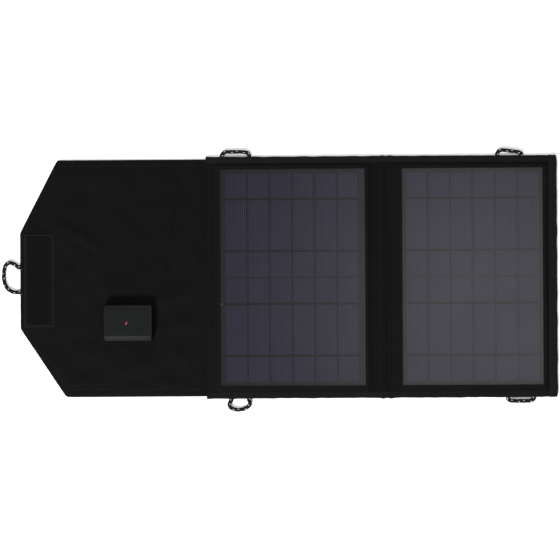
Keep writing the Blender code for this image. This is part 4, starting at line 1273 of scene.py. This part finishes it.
def case_ring(inset, front, z, radius):
    """A ring of the case's plan: inset on three sides, and by front on the sloped lower side."""
    low = (BASE[0][0] + inset, BASE[0][1] + front)
    high = (BASE[1][0] - inset, BASE[1][1] - inset)
    return rounded_ring(low, high, radius, z)


def cup_mesh(outside, inside):
    """A shell from rings of equal count: up the outside to a closed end, then back down the inside."""
    bm = bmesh.new()
    rings = [[bm.verts.new(p) for p in ring] for ring in (*reversed(outside), *inside)]
    bm.faces.new(rings[0])
    bm.faces.new(rings[-1])
    return join_rings(bm, rings)


def lathe_mesh(profile, centre, segments):
    """Turn a profile of (radius, z) about a vertical axis; its first and last radius are zero."""
    bm = bmesh.new()
    bottom = bm.verts.new((centre[0], centre[1], profile[0][1]))
    top = bm.verts.new((centre[0], centre[1], profile[-1][1]))
    turns = [2.0 * math.pi * k / segments for k in range(segments)]
    rings = []
    for radius, z in profile[1:-1]:
        rings.append([bm.verts.new((centre[0] + radius * math.cos(a), centre[1] + radius * math.sin(a), z))
                      for a in turns])
    for k in range(segments):
        after = (k + 1) % segments
        bm.faces.new((bottom, rings[0][after], rings[0][k]))
        bm.faces.new((top, rings[-1][k], rings[-1][after]))
    return join_rings(bm, rings)


def box_mesh(low, high):
    bm = bmesh.new()
    bmesh.ops.create_cube(bm, size=1.0)
    for vert in bm.verts:
        vert.co = Vector(low[k] + (vert.co[k] + 0.5) * (high[k] - low[k]) for k in range(3))
    return bm


def shape_with(piece, tools):
    """Join or cut a piece with (bmesh, operation) pairs, and keep the result as its mesh."""
    helpers = []
    for bm, operation in tools:
        helper = mesh_object(piece.name + "_tool", bm, piece.data.materials[0])
        helpers.append(helper)
        modifier = piece.modifiers.new(helper.name, "BOOLEAN")
        modifier.operation = operation
        modifier.solver = "EXACT"
        modifier.object = helper
    evaluated = piece.evaluated_get(bpy.context.evaluated_depsgraph_get())
    mesh = bpy.data.meshes.new_from_object(evaluated)
    piece.modifiers.clear()
    piece.data = mesh
    mesh.shade_smooth()
    mesh.set_sharp_from_angle(angle=math.radians(20))
    for helper in helpers:
        bpy.data.objects.remove(helper)


def socket_mouth():
    """Cutter for the window that the socket looks out of."""
    low, high = node_box("usb_socket_shell")
    return box_mesh((BASE[0][0] - WALL, low[1] - SOCKET_PLAY, low[2] - SOCKET_PLAY),
                    (BASE[0][0] + 2 * WALL, high[1] + SOCKET_PLAY, high[2] + SOCKET_PLAY))


def lead_slot():
    """Cutter for the slot in the floor that the lead rises through."""
    corner = node_box("flap_lead")[0]
    return box_mesh((corner[0] - LEAD_PLAY, corner[1] - LEAD_PLAY, BASE[0][2] - MM),
                    (corner[0] + LEAD_THICKNESS + LEAD_PLAY, corner[1] + LEAD_WIDTH + LEAD_PLAY,
                     BASE[0][2] + FLOOR + MM))


def label_groove():
    """Cutter for a shallow frame moulded into the lid's top."""
    low = (BASE[0][0] + LABEL_LOW[0], BASE[0][1] + LABEL_LOW[1])
    high = (BASE[1][0] - LABEL_HIGH[0], BASE[1][1] - LABEL_HIGH[1])
    inner_low = (low[0] + LABEL_GROOVE, low[1] + LABEL_GROOVE)
    inner_high = (high[0] - LABEL_GROOVE, high[1] - LABEL_GROOVE)
    top = LID[1][2]
    floor = top - LABEL_DEPTH
    bm = bmesh.new()
    rings = []
    for a, b, z in ((low, high, top + MM), (low, high, floor), (inner_low, inner_high, floor),
                    (inner_low, inner_high, top + MM)):
        rings.append([bm.verts.new(p) for p in rounded_ring(a, b, LABEL_CORNER, z)])
    return join_rings(bm, [*rings, rings[0]])


def make_case_base():
    rim = BASE[1][2]
    foot = BASE[0][2]
    quarter = [math.radians(a) for a in (0.0, 30.0, 60.0, 90.0)]
    outside = [case_ring(PARTING_EDGE, PARTING_EDGE, rim, CASE_CORNER)]
    outside.append(case_ring(0.0, 0.0, rim - PARTING_EDGE, CASE_CORNER))
    for a in quarter:
        inset = FOOT_EDGE * (1.0 - math.cos(a))
        outside.append(case_ring(inset, inset, foot + FOOT_EDGE * (1.0 - math.sin(a)), CASE_CORNER - inset))
    inside = [
        case_ring(WALL, WALL, rim, INNER_CORNER),
        case_ring(WALL, WALL, foot + FLOOR, INNER_CORNER),
    ]
    base = mesh_object("controller_base", cup_mesh(outside, inside), MATERIALS["case"], 32.0)
    post_top = node_box("circuit_board")[0][2] - 0.3 * MM
    bottom = foot + FLOOR - 0.1 * MM
    profile = [(0.0, bottom), (POST_RADIUS, bottom), (POST_RADIUS, post_top), (0.0, post_top)]
    tools = [(socket_mouth(), "DIFFERENCE"), (lead_slot(), "DIFFERENCE")]
    for x in (BASE[0][0] + POST_SOCKET_INSET, BASE[1][0] - POST_INSET):
        for y in (BASE[0][1] + POST_INSET, BASE[1][1] - POST_INSET):
            tools.append((lathe_mesh(profile, (x, y), 24), "UNION"))
    shape_with(base, tools)
    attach(base, "flap")
    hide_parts("case_base")


def make_case_lid():
    rim = LID[0][2]
    top = LID[1][2]
    slope_foot = top - SLOPE_DROP
    below_slope = (
        (PARTING_EDGE, PARTING_EDGE, rim),
        (0.0, 0.0, rim + PARTING_EDGE),
        (0.0, 0.0, slope_foot - 0.25 * MM),
        (0.0, 0.08 * MM, slope_foot),
        (0.0, 0.2 * MM * SLOPE_LENGTH / SLOPE_DROP, slope_foot + 0.2 * MM),
    )
    outside = [case_ring(inset, front, z, CASE_CORNER) for inset, front, z in below_slope]
    for step in range(EDGE_ARC + 1):
        angle = math.radians(step * 90.0 / EDGE_ARC)
        inset = CASE_EDGE * (1.0 - math.cos(angle))
        below_top = CASE_EDGE * (1.0 - math.sin(angle))
        shoulder = max(0.0, 1.0 - 2.0 * below_top / CASE_EDGE)
        front = SLOPE_LENGTH * (1.0 - below_top / SLOPE_DROP) + SLOPE_EASE * shoulder ** 3
        outside.append(case_ring(inset, front, top - below_top, CASE_CORNER - inset))
    # A last flat ring on the top keeps its shading level.
    outside.append(case_ring(inset + 0.25 * MM, front + 0.25 * MM, top, CASE_CORNER - CASE_EDGE))
    ceiling = top - WALL
    inward, below = SLOPE_INSIDE
    inside = [
        case_ring(WALL, WALL, rim, INNER_CORNER),
        case_ring(WALL, WALL, slope_foot - below, INNER_CORNER),
        case_ring(WALL, SLOPE_LENGTH + inward, ceiling, INNER_CORNER),
    ]
    lid = mesh_object("controller_lid", cup_mesh(outside, inside), MATERIALS["case"], 32.0)
    centre = (LED[0][:2] + LED[1][:2]) / 2
    hole = (LED[1][0] - LED[0][0]) / 2 + LED_PLAY
    profile = [(0.0, ceiling - 0.3 * MM), (hole, ceiling - 0.3 * MM), (hole, top - 0.35 * MM),
               (hole + LED_SINK, top + 0.02 * MM), (hole + LED_SINK, top + MM), (0.0, top + MM)]
    shape_with(lid, [(socket_mouth(), "DIFFERENCE"), (lathe_mesh(profile, centre, 40), "DIFFERENCE"),
                     (label_groove(), "DIFFERENCE")])
    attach(lid, "flap")
    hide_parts("case_lid")


def make_contacts():
    """The four gold contacts on the underside of the socket's tongue."""
    low, high = node_box("usb_socket_insulator")
    underside = high[2] - TONGUE_DROP - TONGUE_THICKNESS
    start = low[0] + CONTACT_START
    middle = (low[1] + high[1]) / 2
    bm = bmesh.new()
    for place in CONTACT_PLACES:
        strip = box_mesh((start, middle + place - CONTACT_HALF, underside - 0.10 * MM),
                         (start + CONTACT_LENGTH, middle + place + CONTACT_HALF, underside + 0.05 * MM))
        mesh = bpy.data.meshes.new("contact")
        bmesh.ops.bevel(strip, geom=strip.edges, offset=0.04 * MM, segments=2, affect="EDGES")
        strip.to_mesh(mesh)
        strip.free()
        bm.from_mesh(mesh)
        bpy.data.meshes.remove(mesh)
    contacts = mesh_object("usb_contacts", bm, MATERIALS["contact"])
    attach(contacts, "flap")


# ---------------------------------------------------------------- stitching

def make_stitching():
    panels = Stitching()
    for centre, half in WINDOWS:
        panels.add(rectangle_route(centre - half, centre + half, RIM_STITCH), front_top)
    inside = LIP_Y - 1.0 * MM
    for x in (CREASE_X - CREASE_STITCH, CREASE_X + CREASE_STITCH, FRONT_LEFT + SEAM_STITCH):
        panels.add([(x, -inside), (x, inside)], front_top)
    back = BACK_LEFT + SEAM_STITCH
    panels.add([(back, -inside), (back, inside)], lambda x, y: back_middle(x, y) - CLOTH / 2, -1.0)
    long_row = LIP_Y + 1.5 * MM
    side_row = SIDE_LIP_X + 1.5 * MM
    end = SIDE_LIP_X - 1.5 * MM

    def lip_top(x, y):
        return np.full_like(x, BINDING_TOP - 0.20 * MM - STITCH_DEPTH)

    def lip_bottom(x, y):
        return np.full_like(x, STITCH_DEPTH)

    for height, side in ((lip_top, 1.0), (lip_bottom, -1.0)):
        for y in (-long_row, long_row):
            panels.add([(FRONT_LEFT + MM, y), (end, y)], height, side)
        panels.add([(side_row, 2.5 * MM - PANEL_HALF), (side_row, PANEL_HALF - 2.5 * MM)], height, side)
    panel_blend(panels.piece("panel_stitching"))

    spine = Stitching()
    flap = Stitching()
    edge = FLAP_HALF - HEM_STITCH
    for height, side, inner in ((lining_top, 1.0, True), (outer_bottom, -1.0, False)):
        for y in (-edge, edge):
            spine.add([(SPLIT_X, y), (SEAM_X - 2.5 * MM, y)], height, side)
        x = np.array([SPLIT_X, *np.linspace(UPPER_SHOULDER_X + 10 * MM, TIP_X + HEM_STITCH, 14)])
        low, high = flap_edges(x, inner)
        route = list(zip(x, high - HEM_STITCH)) + list(zip(x[::-1], low[::-1] + HEM_STITCH))
        flap.add(route, height, side)
    fold_blend(spine.piece("spine_stitching"))
    fold_blend(flap.piece("flap_stitching"))

    hook = Stitching()
    tape_top = HOOK[0][2] + SELVEDGE_RISE
    hook.add(rectangle_route(*HOOK, -HOOK_STITCH), lambda x, y: np.full_like(x, tape_top))
    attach(hook.piece("hook_stitching"), "flap")
    patch = Stitching()
    patch.add(rectangle_route(*PATCH, -PATCH_STITCH),
              lambda x, y: np.full_like(x, 0.24 * MM), -1.0)
    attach(patch.piece("loop_patch_stitching"), "end_panel")


# ---------------------------------------------------------------- materials of the CAD pieces

def dress_cad_nodes():
    finishes = {
        "_cell_": "cell", "_front_film": "film", "_backing_board": "board", "_ribbons": "ribbon",
        "_lead": "lead", "circuit_board": "circuit", "usb_socket_shell": "metal",
        "usb_socket_insulator": "insulator", "charge_led": "led", "converter_coil": "coil",
    }
    for name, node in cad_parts.items():
        for part, finish in finishes.items():
            if part in name:
                for slot in node.material_slots:
                    slot.material = MATERIALS[finish]


# ---------------------------------------------------------------- making it all

set_stage()
make_cords()
make_front_cloth()
make_back_cloth()
make_bindings()
make_flap_and_spine()
make_hook_strip()
make_loop_patch()
make_case_base()
make_case_lid()
make_contacts()
make_stitching()
dress_cad_nodes()
